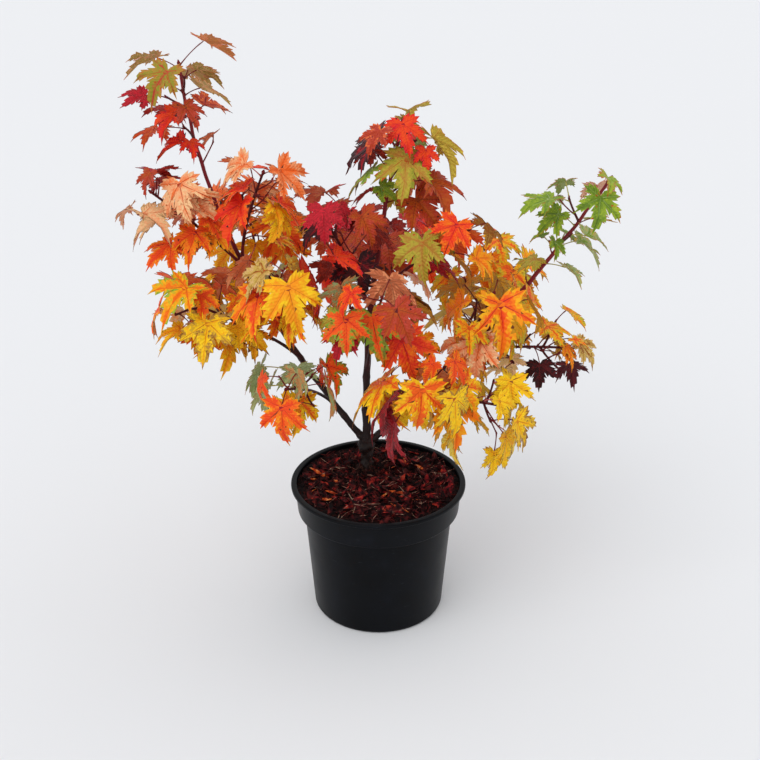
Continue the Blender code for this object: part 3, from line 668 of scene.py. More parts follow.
# Masses of foliage: the leader that bears each, how far up it (None: at the leader's own tip), the middle
# and half sizes of its space, the length of its blades, the least and greatest droop of its blades in
# degrees, its seed, how many leaves its finer twigs add, how large its fine leaves are beside the plain
# ones, its autumn tints from its top to its foot, and the sprays that have a tint of their own
masses = {
    "left_top": dict(
        on="left", at=None, middle=(-222, 76, 613), half=(88, 84, 88), blade=66, droop=(0, 35),
        seed=2, more=4, slim=0.88, tints=("bronze", "oliveBronze", "bronze", "brick", "scarlet", "rose"),
        sprays={5: "rose", 4: "crimson", 2: "scarlet", 102: "scarlet", 101: "rose"},
    ),
    "left_outer": dict(
        on="left", at=0.50, middle=(-224, 40, 478), half=(86, 84, 78), blade=72, droop=(5, 50),
        seed=7, more=5, slim=0.9,
        tints=("crimson", "peach", "salmon", "peach", "amber", "amberFire", "khaki"),
        sprays={
            6: "salmon", 5: "flame", 1: "scarlet", 4: "vermilion", 7: "peach", 8: "crimson",
            102: "brick",
        },
    ),
    "left_inner": dict(
        on="left", at=0.52, middle=(-135, 30, 498), half=(84, 84, 76), blade=74, droop=(5, 50),
        seed=9, more=6, slim=0.9,
        tints=("salmon", "vermilion", "coral", "flame", "amber", "scarlet", "goldFire"),
        sprays={7: "vermilion", 8: "coral", 9: "salmon", 102: "gold", 3: "amber"},
    ),
    "left_low": dict(
        on="left", at=0.26, middle=(-194, 5, 372), half=(94, 90, 78), blade=78, droop=(15, 60),
        seed=12, more=8, slim=0.96,
        tints=("scarlet", "amberFire", "goldFire", "amber", "gold", "amberFire", "limeTipped"),
        sprays={6: "limeTipped", 7: "amberFire", 9: "scarlet", 5: "yellowBrown", 3: "flame"},
    ),
    "left_core": dict(
        on="left", at=0.30, middle=(-108, -15, 402), half=(88, 86, 86), blade=78, droop=(20, 65),
        seed=13, more=8, slim=0.94,
        tints=("vermilion", "straw", "gold", "flame", "khaki", "goldFire", "amberFire"),
        sprays={8: "gold", 9: "khaki", 7: "amberFire", 6: "scarlet", 102: "straw", 5: "goldFire"},
    ),
    "left_skirt": dict(
        on="left", at=0.12, middle=(-90, -50, 300), half=(74, 84, 80), blade=74, droop=(30, 75),
        seed=14, more=3, slim=0.8,
        tints=("limeTipped", "fireGreen", "goldGreen", "paleGreen", "goldFire", "amberFire"),
        sprays={7: "fireGreen", 4: "fireGreen", 6: "amberFire", 3: "goldFire", 2: "paleGreen"},
    ),
    "left_back": dict(
        on="left", at=0.36, middle=(-150, 150, 415), half=(104, 96, 100), blade=78, droop=(15, 60),
        seed=11, more=8, slim=0.9, tints=("coral", "amberFire", "gold", "flame", "goldFire"),
    ),
    "centre_top": dict(
        on="centre", at=None, middle=(32, 46, 530), half=(88, 90, 86), blade=72, droop=(10, 60),
        seed=5, more=7, slim=0.92,
        tints=("oliveGold", "scarlet", "green", "oliveGold", "rustOlive", "brick"),
        sprays={
            9: "scarlet", 8: "oliveGold", 7: "oliveGold", 6: "maroon", 5: "lime", 4: "green",
            3: "crimson", 2: "brick", 103: "rose", 105: "maroon", 104: "scarlet", 101: "oliveGold",
        },
    ),
    "centre_left": dict(
        on="centre", at=0.42, middle=(-50, 10, 462), half=(80, 86, 82), blade=76, droop=(10, 60),
        seed=5, more=7, slim=0.88,
        tints=("magenta", "crimson", "scarlet", "maroon", "scarlet", "vermilion"),
        sprays={
            4: "magenta", 6: "crimson", 104: "maroon", 5: "scarlet", 3: "maroon", 102: "brick",
            103: "maroon",
        },
    ),
    "centre_right": dict(
        on="centre", at=0.45, middle=(74, 10, 450), half=(76, 84, 80), blade=72, droop=(10, 60),
        seed=3, more=6, slim=0.86,
        tints=("brick", "rustOlive", "vermilion", "rustOlive", "crimson", "flame"),
        sprays={5: "amber", 7: "vermilion", 2: "oliveGold", 4: "scarlet", 3: "crimson", 0: "blush"},
    ),
    "centre_front": dict(
        on="centre", at=0.24, middle=(0, -50, 392), half=(88, 88, 82), blade=80, droop=(20, 70),
        seed=14, more=8, slim=0.98,
        tints=("brick", "rustOlive", "maroon", "scarlet", "flame", "fireGreen", "amber"),
        sprays={
            5: "fireGreen", 6: "brick", 7: "brick", 3: "vermilion", 107: "vermilion",
            108: "oliveGold", 103: "crimson", 104: "amber", 106: "goldFire", 105: "sage",
        },
    ),
    "centre_skirt": dict(
        on="centre", at=0.08, middle=(42, -84, 312), half=(86, 88, 82), blade=78, droop=(35, 80),
        seed=11, more=7, slim=0.98,
        tints=("flame", "goldFire", "yellow", "amber", "yellow", "crimson", "yellowBrown"),
        sprays={7: "wine", 2: "goldFire", 4: "goldFire", 9: "goldFire", 8: "yellowBrown"},
    ),
    "centre_back": dict(
        on="centre", at=0.22, middle=(0, 165, 375), half=(104, 100, 104), blade=78, droop=(15, 65),
        seed=15, more=8, slim=0.9, tints=("crimson", "brick", "vermilion", "rustOlive", "amber"),
    ),
    "right_top": dict(
        on="right", at=None, middle=(204, 8, 490), half=(90, 80, 92), blade=60, droop=(0, 45),
        seed=1, more=4, slim=0.78,
        tints=("green", "paleGreen", "greenFlush", "green", "paleGreen", "green"),
        sprays={
            11: "greenFlush", 8: "blush", 9: "green", 6: "green", 4: "paleGreen", 3: "oliveGold",
            2: "paleGreen",
        },
    ),
    "right_inner": dict(
        on="right", at=0.30, middle=(112, -10, 372), half=(88, 86, 80), blade=76, droop=(15, 65),
        seed=6, more=8, slim=0.9,
        tints=("goldFire", "amber", "goldGreen", "rustOlive", "amberFire", "gold"),
        sprays={9: "amberFire", 7: "goldGreen", 6: "amber", 4: "salmon"},
    ),
    "right_skirt": dict(
        on="right", at=0.16, middle=(116, -66, 290), half=(80, 82, 84), blade=76, droop=(35, 80),
        seed=12, more=5, slim=0.85, tints=("goldFire", "yellow", "yellow", "straw", "yellowBrown"),
        sprays={5: "yellowBrown", 4: "yellow"},
    ),
    "right_outer": dict(
        on="right", at=0.38, middle=(186, 18, 322), half=(82, 80, 72), blade=64, droop=(10, 60),
        seed=1, more=4, slim=0.8, tints=("goldGreen", "amber", "khaki", "goldGreen", "yellow"),
        sprays={7: "plum", 9: "khaki", 4: "goldGreen"},
    ),
    "right_back": dict(
        on="right", at=0.24, middle=(130, 146, 350), half=(98, 94, 94), blade=78, droop=(15, 65),
        seed=7, more=8, slim=0.9, tints=("goldGreen", "amber", "goldFire", "khaki", "yellow"),
    ),
}


def trunkShape(sides=trunkPlan["sides"], steps=1):
    # the flared foot with root shoulders, the waist and the knobbly crown, with rings added between its own
    plan, marks = trunkPlan, []
    for (lowShare, lowRadius), (share, radius) in zip(plan["rings"], plan["rings"][1:]):
        for k in range(steps):
            part = k / steps
            ease = part * part * (3 - 2 * part)
            marks.append((lowShare + (share - lowShare) * part, lowRadius + (radius - lowRadius) * ease))
    rings = []
    for share, radius in marks + [plan["rings"][-1]]:
        ring = []
        for i in range(sides):
            turn = 2 * math.pi * i / sides
            foot = plan["shoulders"] * max(0, 1 - share / plan["shoulderTop"])
            shoulders = 1 + foot * math.cos(plan["roots"] * turn + 0.7)
            knobs = 1 + plan["knobs"] * share * math.cos(plan["bumps"] * turn + 1.9)
            reach = radius * mm * shoulders * knobs
            spot = Vector((reach * math.cos(turn), reach * math.sin(turn), share * plan["height"] * mm))
            ring.append(footPoint + spot)
        rings.append(ring)
    return loft(rings)


def leaderPath(name):
    # points and radii of a whole leader, from inside the trunk's crown to its topmost bud
    plan = leaderPlan["leaders"][name]
    heading = math.radians(plan["heading"])
    level = Vector((math.cos(heading), math.sin(heading), 0))
    length = plan["length"] * mm
    count = round(length / (leaderPlan["step"] * mm))
    first, last = plan["lean"]
    path = [footPoint + (trunkPlan["height"] - leaderPlan["root"]) * mm * up]
    for i in range(count):
        lean = math.radians(first + (last - first) * (i / count) ** plan["bend"])
        lean += leaderPlan["zigzag"] * (-1) ** i
        sway = leaderPlan["sway"] * math.sin(1.9 * i)
        step = math.cos(lean) * up + math.sin(lean) * level + math.sin(sway) * up.cross(level)
        path.append(path[-1] + step.normalized() * length / count)
    thick, thin = plan["radius"]
    return path, [mm * (thick + (thin - thick) * (i / count) ** 0.85) for i in range(count + 1)]


def along(path, share):
    # the point at a share of a path's length, and the direction there
    place = share * (len(path) - 1)
    i = min(int(place), len(path) - 2)
    return path[i].lerp(path[i + 1], place - i), (path[i + 1] - path[i]).normalized()


def stretch(path, radii, start, end):
    # the part of a path between two shares of its length, with its radii
    count = len(path) - 1
    shares = [start] + [i / count for i in range(1, count) if start < i / count < end] + [end]
    sizes = []
    for share in shares:
        i = min(int(share * count), count - 1)
        sizes.append(radii[i] + (radii[i + 1] - radii[i]) * (share * count - i))
    return [along(path, share)[0] for share in shares], sizes


def pathLength(path):
    return sum((end - start).length for start, end in zip(path, path[1:]))


def measure(mass, point):
    # how far out a point lies in a mass's space: 0 in the middle, 1 at its edge
    offset = point - Vector(mass["middle"]) * mm
    return math.sqrt(sum((far / (half * mm)) ** 2 for far, half in zip(offset, mass["half"])))


def inSpace(name, points, heart):
    # all points within the mass's space, and heart nearer to its middle than to a neighbour's
    if any(measure(masses[name], point) > 1 for point in points):
        return False
    own = measure(masses[name], heart)
    return all(measure(other, heart) > own for key, other in masses.items() if key != name)


def branchPath(name, leader):
    # a branch's route from its leader to its mass and on through it, and the share at which it enters
    mass, plan = masses[name], branchPlan
    start, upward = along(leader, mass["at"])
    middle = Vector(mass["middle"]) * mm
    reach = middle - start
    way = reach.normalized()
    bend = start + plan["bow"] * reach.length * (upward + plan["forward"] * way).normalized()
    end = middle + plan["through"] * mass["half"][0] * mm * (way + plan["lift"] * up)
    steps = plan["steps"]
    path = [arch(start, bend, end, i / steps) for i in range(steps + 1)]
    enters = next(i for i in range(2, steps) if measure(mass, path[i]) < plan["edge"])
    return path, (enters + 0.3) / steps


def stalkRing(spot, run, across, girth):
    # the three corners of a plain stalk: right, left and below
    flat = (across - across.dot(run) * run).normalized()
    return [spot + girth * flat, spot - girth * flat, spot - 1.6 * girth * run.cross(flat)]


def plainLeaf(leaf, spare):
    # a leaf and its stalk as one plain solid, thicker all round by spare
    root, joint, (ahead, across, face), blade = leaf
    plan = plainPlan
    size = blade + 3 * spare

    def place(degrees, share):
        long = size * share * math.cos(math.radians(degrees))
        wide = size * share * math.sin(math.radians(degrees))
        lift = plan["cup"] * abs(wide) - plan["drop"] * long * abs(long) / blade
        lift -= plan["roll"] * wide * wide / blade
        return joint + long * ahead + wide * across + lift * face

    left = [place(degrees, share) for degrees, share in plan["outline"]]
    right = [place(-degrees, share) for degrees, share in reversed(plan["outline"][1:])]
    girth = plan["stalkRadius"] * mm + spare
    near = stalkRing(joint - 0.05 * blade * ahead, ahead, across, girth)
    far = stalkRing(root, (joint - root).normalized(), across, plan["stalkRoot"] * girth)
    hub = joint + plan["hub"] * blade * ahead
    rim = left + near[:2] + right
    half = (plan["thickness"] * mm / 2 + spare) * face
    points = rim + [near[2], hub + half, hub - half] + far
    count = len(rim)
    first, second = len(left), len(left) + 1  # the stalk's two upper corners, which lie in the rim
    low, top, base = count, count + 1, count + 2
    faces = [(top, i, (i + 1) % count) for i in range(count)]
    faces += [(base, (i + 1) % count, i) for i in range(count) if i != first]
    faces += [(base, low, first), (base, second, low)]
    nearIds, farIds = (first, second, low), (base + 1, base + 2, base + 3)
    for i in range(3):
        j = (i + 1) % 3
        faces.append((farIds[i], farIds[j], nearIds[j], nearIds[i]))
    faces.append(farIds[::-1])
    return points, faces


def leafFrame(outward, droop, twist):
    # directions of a hanging blade: along the midrib, across it and out of its upper face
    ahead = math.cos(droop) * outward - math.sin(droop) * up
    face = math.sin(droop) * outward + math.cos(droop) * up
    face.rotate(Matrix.Rotation(twist, 3, ahead))
    return ahead, face.cross(ahead).normalized(), face


def boxOf(points):
    # the least and the greatest of the points' coordinates
    low = [min(point[k] for point in points) for k in range(3)]
    high = [max(point[k] for point in points) for k in range(3)]
    return low, high


class Crown:
    # the shapes placed so far, for keeping twigs and leaves clear of each other

    def __init__(self):
        self.placed = []

    def add(self, shape):
        self.placed.append((BVHTree.FromPolygons(*shape), *boxOf(shape[0])))

    def fits(self, name, shape, heart):
        if not inSpace(name, shape[0], heart):
            return False
        tree = BVHTree.FromPolygons(*shape)
        low, high = boxOf(shape[0])
        for other, otherLow, otherHigh in self.placed:
            close = all(low[k] <= otherHigh[k] and high[k] >= otherLow[k] for k in range(3))
            if close and tree.overlap(other):
                return False
        return True


def growLeaf(name, crown, rng, root, leave, smaller=1.0):
    # tries a leaf at a joint in several attitudes and returns the first that is clear, or None
    mass, plan = masses[name], plainPlan
    heart = Vector(mass["middle"]) * mm
    for attempt in range(plan["tries"]):
        blade = mass["blade"] * mm * smaller * rng.uniform(*plan["sizes"]) * plan["shrink"] ** attempt
        stalk = blade * rng.uniform(*plan["stalk"])
        away = (root - heart).normalized() + plan["leaveShare"] * leave
        away += plan["outShare"] * (root - footPoint).normalized()
        heading = math.atan2(away.y, away.x) + rng.gauss(0, plan["stray"][0] + plan["stray"][1] * attempt)
        outward = Vector((math.cos(heading), math.sin(heading), 0))
        joint = root + stalk * (leave + outward + rng.uniform(*plan["rise"]) * up).normalized()
        droop = math.radians(rng.uniform(*mass["droop"]))
        sides = leafFrame(outward, droop, rng.gauss(0, plan["twist"]))
        feeler = plainLeaf((root.lerp(joint, 0.2), joint, sides, blade), clearance)
        if crown.fits(name, feeler, joint):
            crown.add(feeler)
            return root, joint, sides, blade
    return None


def sideWays(direction, turn):
    # the two opposite sideways directions at a leaf joint, turned about the stem
    across = direction.cross(Vector((0.15, 0.1, 1))).normalized()
    across.rotate(Matrix.Rotation(turn, 3, direction))
    return across, -across


def thinShape(start, end, radius):
    # the space of a straight twig, with the clearance round it
    return tube([start, end], [radius * mm + clearance] * 2, branchPlan["stemSides"])


def growTwig(name, crown, rng, start, leave, turn):
    # a side twig with a pair of leaves near its end, or nothing where it would touch or bear no leaf
    end = start + rng.uniform(*twigPlan["length"]) * mm * (leave + twigPlan["lift"] * up).normalized()
    feeler = thinShape(start.lerp(end, 0.2), end, twigPlan["radius"])
    if not crown.fits(name, feeler, end):
        return None, []
    crown.add(feeler)
    run = (end - start).normalized()
    leaves = []
    for k, way in enumerate(sideWays(run, turn + rng.uniform(0, 1.5))):
        root = end - (0.6 + k) * twigPlan["stagger"] * mm * run
        leaves.append(growLeaf(name, crown, rng, root, (run + way).normalized()))
    leaves = [leaf for leaf in leaves if leaf]
    if not leaves:
        crown.placed.pop()
        return None, []
    return (start, end), leaves


def growMass(name, crown, path):
    # grows one mass from its stem's tip down: its twigs, and its leaves spray by spray
    rng = random.Random(masses[name]["seed"])
    stagger = twigPlan["stagger"] * mm
    joints = max(3, round(pathLength(path) / (twigPlan["joint"] * mm)))
    turn = rng.uniform(0, math.pi)
    twigs, leaves = [], []
    for i in reversed(range(joints + 1)):
        place = twigPlan["first"] + (1 - twigPlan["first"]) * i / joints
        root, direction = along(path, min(place, twigPlan["last"]))
        turn += math.pi / 2 + rng.gauss(0, 0.2)
        for side, way in enumerate(sideWays(direction, turn)):
            if len(leaves) >= plainPlan["most"]:
                return twigs, leaves[: plainPlan["most"]]
            follow = twigPlan["follow"][0 if i == joints else 1]
            leave = (follow * direction + way).normalized()
            start = root - side * stagger * direction
            if 0 < i < joints:
                twig, borne = growTwig(name, crown, rng, start, leave, turn)
                if twig:
                    twigs.append(twig)
                    leaves += [(leaf, 2 * i + side) for leaf in borne]
                    start = start - 2 * stagger * direction
            leaf = growLeaf(name, crown, rng, start, leave)
            if leaf:
                leaves.append((leaf, 2 * i + side))
    return twigs, leaves


# Finer twigs: one every so far along stems and twigs, their length and girth, and how much smaller their
# leaves are
finerPlan = dict(every=13, length=(12, 30), radius=0.85, smaller=(0.52, 0.86), seed=700)


def growFiner(name, crown, path, twigs, borneAlready):
    # carries the same rule on to finer twigs, each with one or two smaller leaves, within the mass's space
    plan = finerPlan
    rng = random.Random(plan["seed"] + masses[name]["seed"])
    finer, leaves, spots = [], [], []
    for bearer in [path] + [list(twig) for twig in twigs]:
        count = max(2, round(pathLength(bearer) / (plan["every"] * mm)))
        spots += [(bearer, (k + 0.5) / count) for k in range(count)]
    joints = [leaf[1] for leaf, _ in borneAlready]

    def bareness(spot):
        # how far a place on its bearer is from any leaf, with a little chance
        return min((along(*spot)[0] - joint).length for joint in joints) * rng.uniform(0.7, 1.3)

    spots.sort(key=bareness, reverse=True)
    for bearer, share in spots:
        if len(leaves) >= masses[name]["more"]:
            break
        root, direction = along(bearer, min(share, 0.96))
        way = sideWays(direction, rng.uniform(0, 2 * math.pi))[0]
        leave = (0.6 * direction + way).normalized()
        end = root + rng.uniform(*plan["length"]) * mm * (leave + twigPlan["lift"] * up).normalized()
        feeler = thinShape(root.lerp(end, 0.3), end, plan["radius"])
        if not crown.fits(name, feeler, end):
            continue
        crown.add(feeler)
        run = (end - root).normalized()
        borne = []
        for k in range(2):
            aside = (run + sideWays(run, rng.uniform(0, 2 * math.pi))[k]).normalized()
            smaller = rng.uniform(*plan["smaller"])
            place = end - 0.5 * k * twigPlan["stagger"] * mm * run
            borne.append(growLeaf(name, crown, rng, place, aside, smaller))
        borne = [leaf for leaf in borne if leaf]
        if not borne:
            crown.placed.pop()
            continue
        finer.append((root, end))
        leaves += [(leaf, 100 + len(finer)) for leaf in borne]
    return finer, leaves


def growCrown():
    # limbs as (path, radii), then for each mass its stem, its twigs, its finer twigs and its leaves
    crown = Crown()
    leaders = {name: leaderPath(name) for name in leaderPlan["leaders"]}
    limbs, stems = {}, {}

    def swollen(path, radii, sides):
        return tube(path, [radius + clearance for radius in radii], sides)

    for name, (path, radii) in leaders.items():
        limb = stretch(path, radii, 0, leaderPlan["leaders"][name]["split"])
        crown.add(swollen(*limb, leaderPlan["sides"]))
        limbs["bough_" + name] = limb
    gap = branchPlan["gap"] * mm
    for name, mass in masses.items():
        path, radii = leaders[mass["on"]]
        if mass["at"] is None:
            begin = leaderPlan["leaders"][mass["on"]]["split"] + gap / pathLength(path)
            stems[name] = stretch(path, radii, begin, 0.99)
            continue
        path, enter = branchPath(name, path)
        steps = branchPlan["steps"]
        thick, thin = branchPlan["radius"] * mm, branchPlan["stemTip"] * mm
        radii = [thick + (thin - thick) * i / steps for i in range(steps + 1)]
        limb = stretch(path, radii, 0, enter)
        crown.add(swollen(limb[0][1:], limb[1][1:], branchPlan["sides"]))
        limbs["branch_" + name] = limb
        stems[name] = stretch(path, radii, enter + gap / pathLength(path), 1)
    for path, radii in stems.values():
        crown.add(swollen(path[1:], radii[1:], branchPlan["stemSides"]))
    grown = {}
    for name, (path, radii) in stems.items():
        grown[name] = [path, radii, *growMass(name, crown, path)]
    count = sum(len(parts[3]) for parts in grown.values())
    for name, parts in grown.items():
        finer, leaves = growFiner(name, crown, parts[0], parts[2], parts[3])
        parts.append(finer)
        parts[3] = parts[3] + leaves
    total = sum(len(parts[3]) for parts in grown.values())
    report(f"crown grown: {count} leaves as in the solids, {total - count} more on finer twigs")
    return leaders, limbs, grown


# Wood: the trunk, leaders and branches as one skin with bark in relief
woodPlan = dict(
    voxel=0.8, nodeEvery=2, nodeSwell=0.16, nodeWidth=0.07, collar=0.5, collarReach=5, smooth=4,
    plates=(0.9, 3.2), lumps=(3.4, 9.0), striae=(0.18, 1.3), sunk=5, buttress=62,
    trunkSides=48, leaderSides=20, branchSides=14, steps=6,
)
# Fibres that cling to the trunk's foot, given as the litter is, and how far from its middle they reach
tuftPlan = dict(
    stout=1.2, kinds=6, first=200, colour="rootHair", count=70000, scale=(0.3, 0.75), tilt=85, lift=0,
    around=16, seed=41,
)


def smoothPath(path, radii, steps):
    # a rounded path through the points, with its radii
    line, girths = [], []
    for i in range(len(path) - 1):
        before, here = path[max(i - 1, 0)], path[i]
        there, after = path[i + 1], path[min(i + 2, len(path) - 1)]
        run, bend = there - before, 2 * before - 5 * here + 4 * there - after
        twist = 3 * here - before - 3 * there + after
        for k in range(steps):
            share = k / steps
            line.append(0.5 * (2 * here + run * share + bend * share**2 + twist * share**3))
            girths.append(radii[i] + (radii[i + 1] - radii[i]) * share)
    return line + [path[-1]], girths + [radii[-1]]


def makeWood(leaders, limbs):
    plan = woodPlan
    sides, steps = plan["trunkSides"], plan["steps"]
    trunk = trunkShape(sides, steps)
    sunk = [point - plan["sunk"] * mm * up for point in trunk[0][:sides]]
    shapes = [trunk, loft([sunk, trunk[0][sides : 2 * sides]])]

    def swell(i):
        # how much thicker a leader is at a place on its smoothed path, near a joint where leaves once stood
        away = (i / steps / plan["nodeEvery"] + 0.5) % 1 - 0.5
        return 1 + plan["nodeSwell"] * math.exp(-((away / plan["nodeWidth"]) ** 2))

    for name, (path, radii) in leaders.items():
        split = leaderPlan["leaders"][name]["split"]
        path, radii = stretch(path, radii, 0, min(split + 0.02, 1))
        line, girths = smoothPath(path, radii, steps)
        girths = [girth * swell(i) for i, girth in enumerate(girths)]
        shapes.append(tube(line, girths, plan["leaderSides"]))
    for name, (path, radii) in limbs.items():
        if name.startswith("branch_"):
            line, girths = smoothPath(path, radii, steps)
            for i in range(len(line)):
                far = pathLength(line[: i + 1])
                girths[i] *= 1 + plan["collar"] * math.exp(-far / (plan["collarReach"] * mm))
            shapes.append(tube(line, girths, plan["branchSides"]))
    solids = Sheaf()
    for points, faces in shapes:
        solids.add(points, faces, "bark")
    wood = meshPiece("barkLimbs", solids.points, solids.faces, [])
    skin = wood.modifiers.new("skin", "REMESH")
    skin.mode = "VOXEL"
    skin.voxel_size = plan["voxel"] * mm
    soften = wood.modifiers.new("soften", "SMOOTH")
    soften.factor = 0.5
    soften.iterations = plan["smooth"]
    plainMesh(wood)
    mesh = wood.data
    top = footPoint.z + plan["buttress"] * mm
    places, normals = (np.empty(3 * len(mesh.vertices)) for _ in range(2))
    mesh.vertices.foreach_get("co", places)
    mesh.vertices.foreach_get("normal", normals)
    places, normals = places.reshape(-1, 3), normals.reshape(-1, 3)
    lifts = []
    for x, y, z in places.tolist():
        rough = max(0.0, min(1.0, 2 * (top - z) / (plan["buttress"] * mm)))
        plates = noise.fractal(Vector((x, y, z * 0.4)) / (plan["plates"][1] * mm), 1.0, 2.0, 3)
        striae = noise.noise(Vector((x, y, z * 0.15)) / (plan["striae"][1] * mm))
        lump = noise.noise(Vector((x, y, z)) / (plan["lumps"][1] * mm))
        lift = plan["plates"][0] * plates + plan["lumps"][0] * lump
        lifts.append(rough * lift + plan["striae"][0] * striae * (0.4 + 0.6 * rough))
    places += np.array(lifts)[:, None] * mm * normals
    mesh.vertices.foreach_set("co", places.ravel())
    mesh.update()
    mesh.materials.clear()
    mesh.materials.append(youngBark())
    mesh.shade_smooth()
    keepPiece(wood, "bark", "trunk", *limbs)
    makeLenticels(wood)
    makeTufts()


def makeTufts():
    # old root fibres and bark threads on the trunk, scattered as the litter is
    tufts = meshPiece("trunkTufts", *trunkShape(), [])
    scatter(tufts, tuftPlan, Vector((footPoint.x, footPoint.y, 0)), tuftPlan["around"])
    keepPiece(tufts, "bark")


def youngBark():
    # Young maple bark: smooth and near black at the foot, wine-red where the shoots are last summer's
    # growth
    material, tree, shader = newMaterial("youngMapleBark", "2A1715", 0.62, Specular_IOR_Level=0.3)
    spot = addNode(tree, "ShaderNodeTexCoord").outputs["Object"]
    parts = addNode(tree, "ShaderNodeSeparateXYZ", {0: spot})
    cloud = addNoise(tree, spot, 60.0, 4.0)  # 17 mm patches
    rise = addNode(tree, "ShaderNodeMapRange", {
        "Value": parts.outputs["Z"], "From Min": 0.19, "From Max": 0.56,
    })
    sunny = addNode(tree, "ShaderNodeMapRange", {
        "Value": parts.outputs["X"], "From Min": 0.07, "From Max": 0.17,
    })
    redder = addNode(tree, "ShaderNodeMath", {0: sunny, 1: 0.45, 2: rise}, operation="MULTIPLY_ADD")
    mixed = addNode(tree, "ShaderNodeMath", {0: cloud, 1: 0.55, 2: redder}, operation="MULTIPLY_ADD")
    stops = ((0.18, "140B0A"), (0.45, "24110F"), (0.80, "46151A"), (1.0, "7A1B25"))
    colour = colourRamp(tree, mixed, stops)
    tree.links.new(colour.outputs[0], shader.inputs["Base Color"])
    drawn = addNode(tree, "ShaderNodeMapping", {"Vector": spot, "Scale": (1.0, 1.0, 0.22)})
    # fissures of 0.7 mm, drawn out along the limbs
    fibres = addNoise(tree, drawn, 1500.0, 4.0)
    addRelief(tree, shader, fibres, 0.35, 0.0003)
    varyRoughness(tree, shader, fibres, 0.45, 0.75)
    return material


# Lenticels: the pale corky pores of young bark, so many to the square metre, of this width, and how long
# and how high they are beside it
lenticelPlan = dict(count=11000, width=0.55, long=1.7, high=0.45, sizes=(0.6, 1.2), seed=4)


def makeLenticels(wood):
    plan = lenticelPlan
    tree, given = newTree("lenticels", {
        "Count": "Float", "Width": "Float", "Long": "Float", "Seed": "Int", "Finish": "Material",
    })
    spots = addNode(tree, "GeometryNodeDistributePointsOnFaces", {
        "Mesh": given["Geometry"], "Density": given["Count"], "Seed": given["Seed"],
    })
    ball = addNode(tree, "GeometryNodeMeshIcoSphere", {"Radius": given["Width"], "Subdivisions": 1})
    size = addNode(tree, "FunctionNodeRandomValue", {
        2: plan["sizes"][0], 3: plan["sizes"][1], "Seed": given["Seed"],
    }, data_type="FLOAT")
    shape = addNode(tree, "ShaderNodeCombineXYZ", {0: 1.0, 1: given["Long"], 2: plan["high"]})
    laid = addNode(tree, "GeometryNodeInstanceOnPoints", {
        "Points": spots, "Instance": ball, "Rotation": spots.outputs["Rotation"], "Scale": shape,
    })
    scaled = addNode(tree, "GeometryNodeScaleInstances", {"Instances": laid, "Scale": size.outputs[1]})
    real = addNode(tree, "GeometryNodeRealizeInstances", {"Geometry": scaled})
    finished = addNode(tree, "GeometryNodeSetMaterial", {"Geometry": real, "Material": given["Finish"]})
    addNode(tree, "NodeGroupOutput", {"Geometry": finished})
    pores = newObject("lenticels", wood.data.copy())
    growOn(pores, tree, {
        "Count": plan["count"], "Width": plan["width"] / 2 * mm, "Long": plan["long"], "Seed": plan["seed"],
        "Finish": lenticelCork(),
    })
    pores.data.shade_smooth()
    keepPiece(pores, "bark")


# Leaf colours, as plain base colours
def lenticelCork():
    # The cork of bark pores: pale brown and matt, with a grain of 0.3 mm
    material, tree, shader = newMaterial("corkyLenticel", "7A5648", 0.85)
    spot = addNode(tree, "ShaderNodeTexCoord").outputs["Object"]
    grain = addNoise(tree, spot, 3000.0)
    addRelief(tree, shader, grain, 0.4, 0.0001)
    return material


leafColours = {
    "char": "3B1712", "plum": "2E0F14", "maroon": "591118", "crimson": "A21420", "magenta": "C81B2C",
    "rose": "B9402E", "brick": "AB3614", "scarlet": "E02A16", "vermilion": "EA4712", "flame": "EE5F14",
    "coral": "EF7538", "salmon": "F19B6A", "blush": "EFB79C", "rust": "B34D12", "brown": "6C3712",
    "umber": "97591A", "bronze": "B08030", "olive": "8B8922", "khaki": "CBA850", "tan": "DAB077",
    "peach": "F0BE8A", "tangerine": "F2740D", "amber": "F4930F", "gold": "F3AC10", "yellow": "F5C716",
    "straw": "E9D055", "chartreuse": "BDB02A", "lime": "9BAE2C", "leafGreen": "7F9828",
    "deepGreen": "5F7C20", "moss": "B3A133", "sage": "A6B478", "celadon": "C3D29B", "wine": "6F1C1F",
    "twigRed": "52181A", "shootRed": "7E232B", "stalkPink": "BA5C58", "stalkOlive": "A49A50",
}
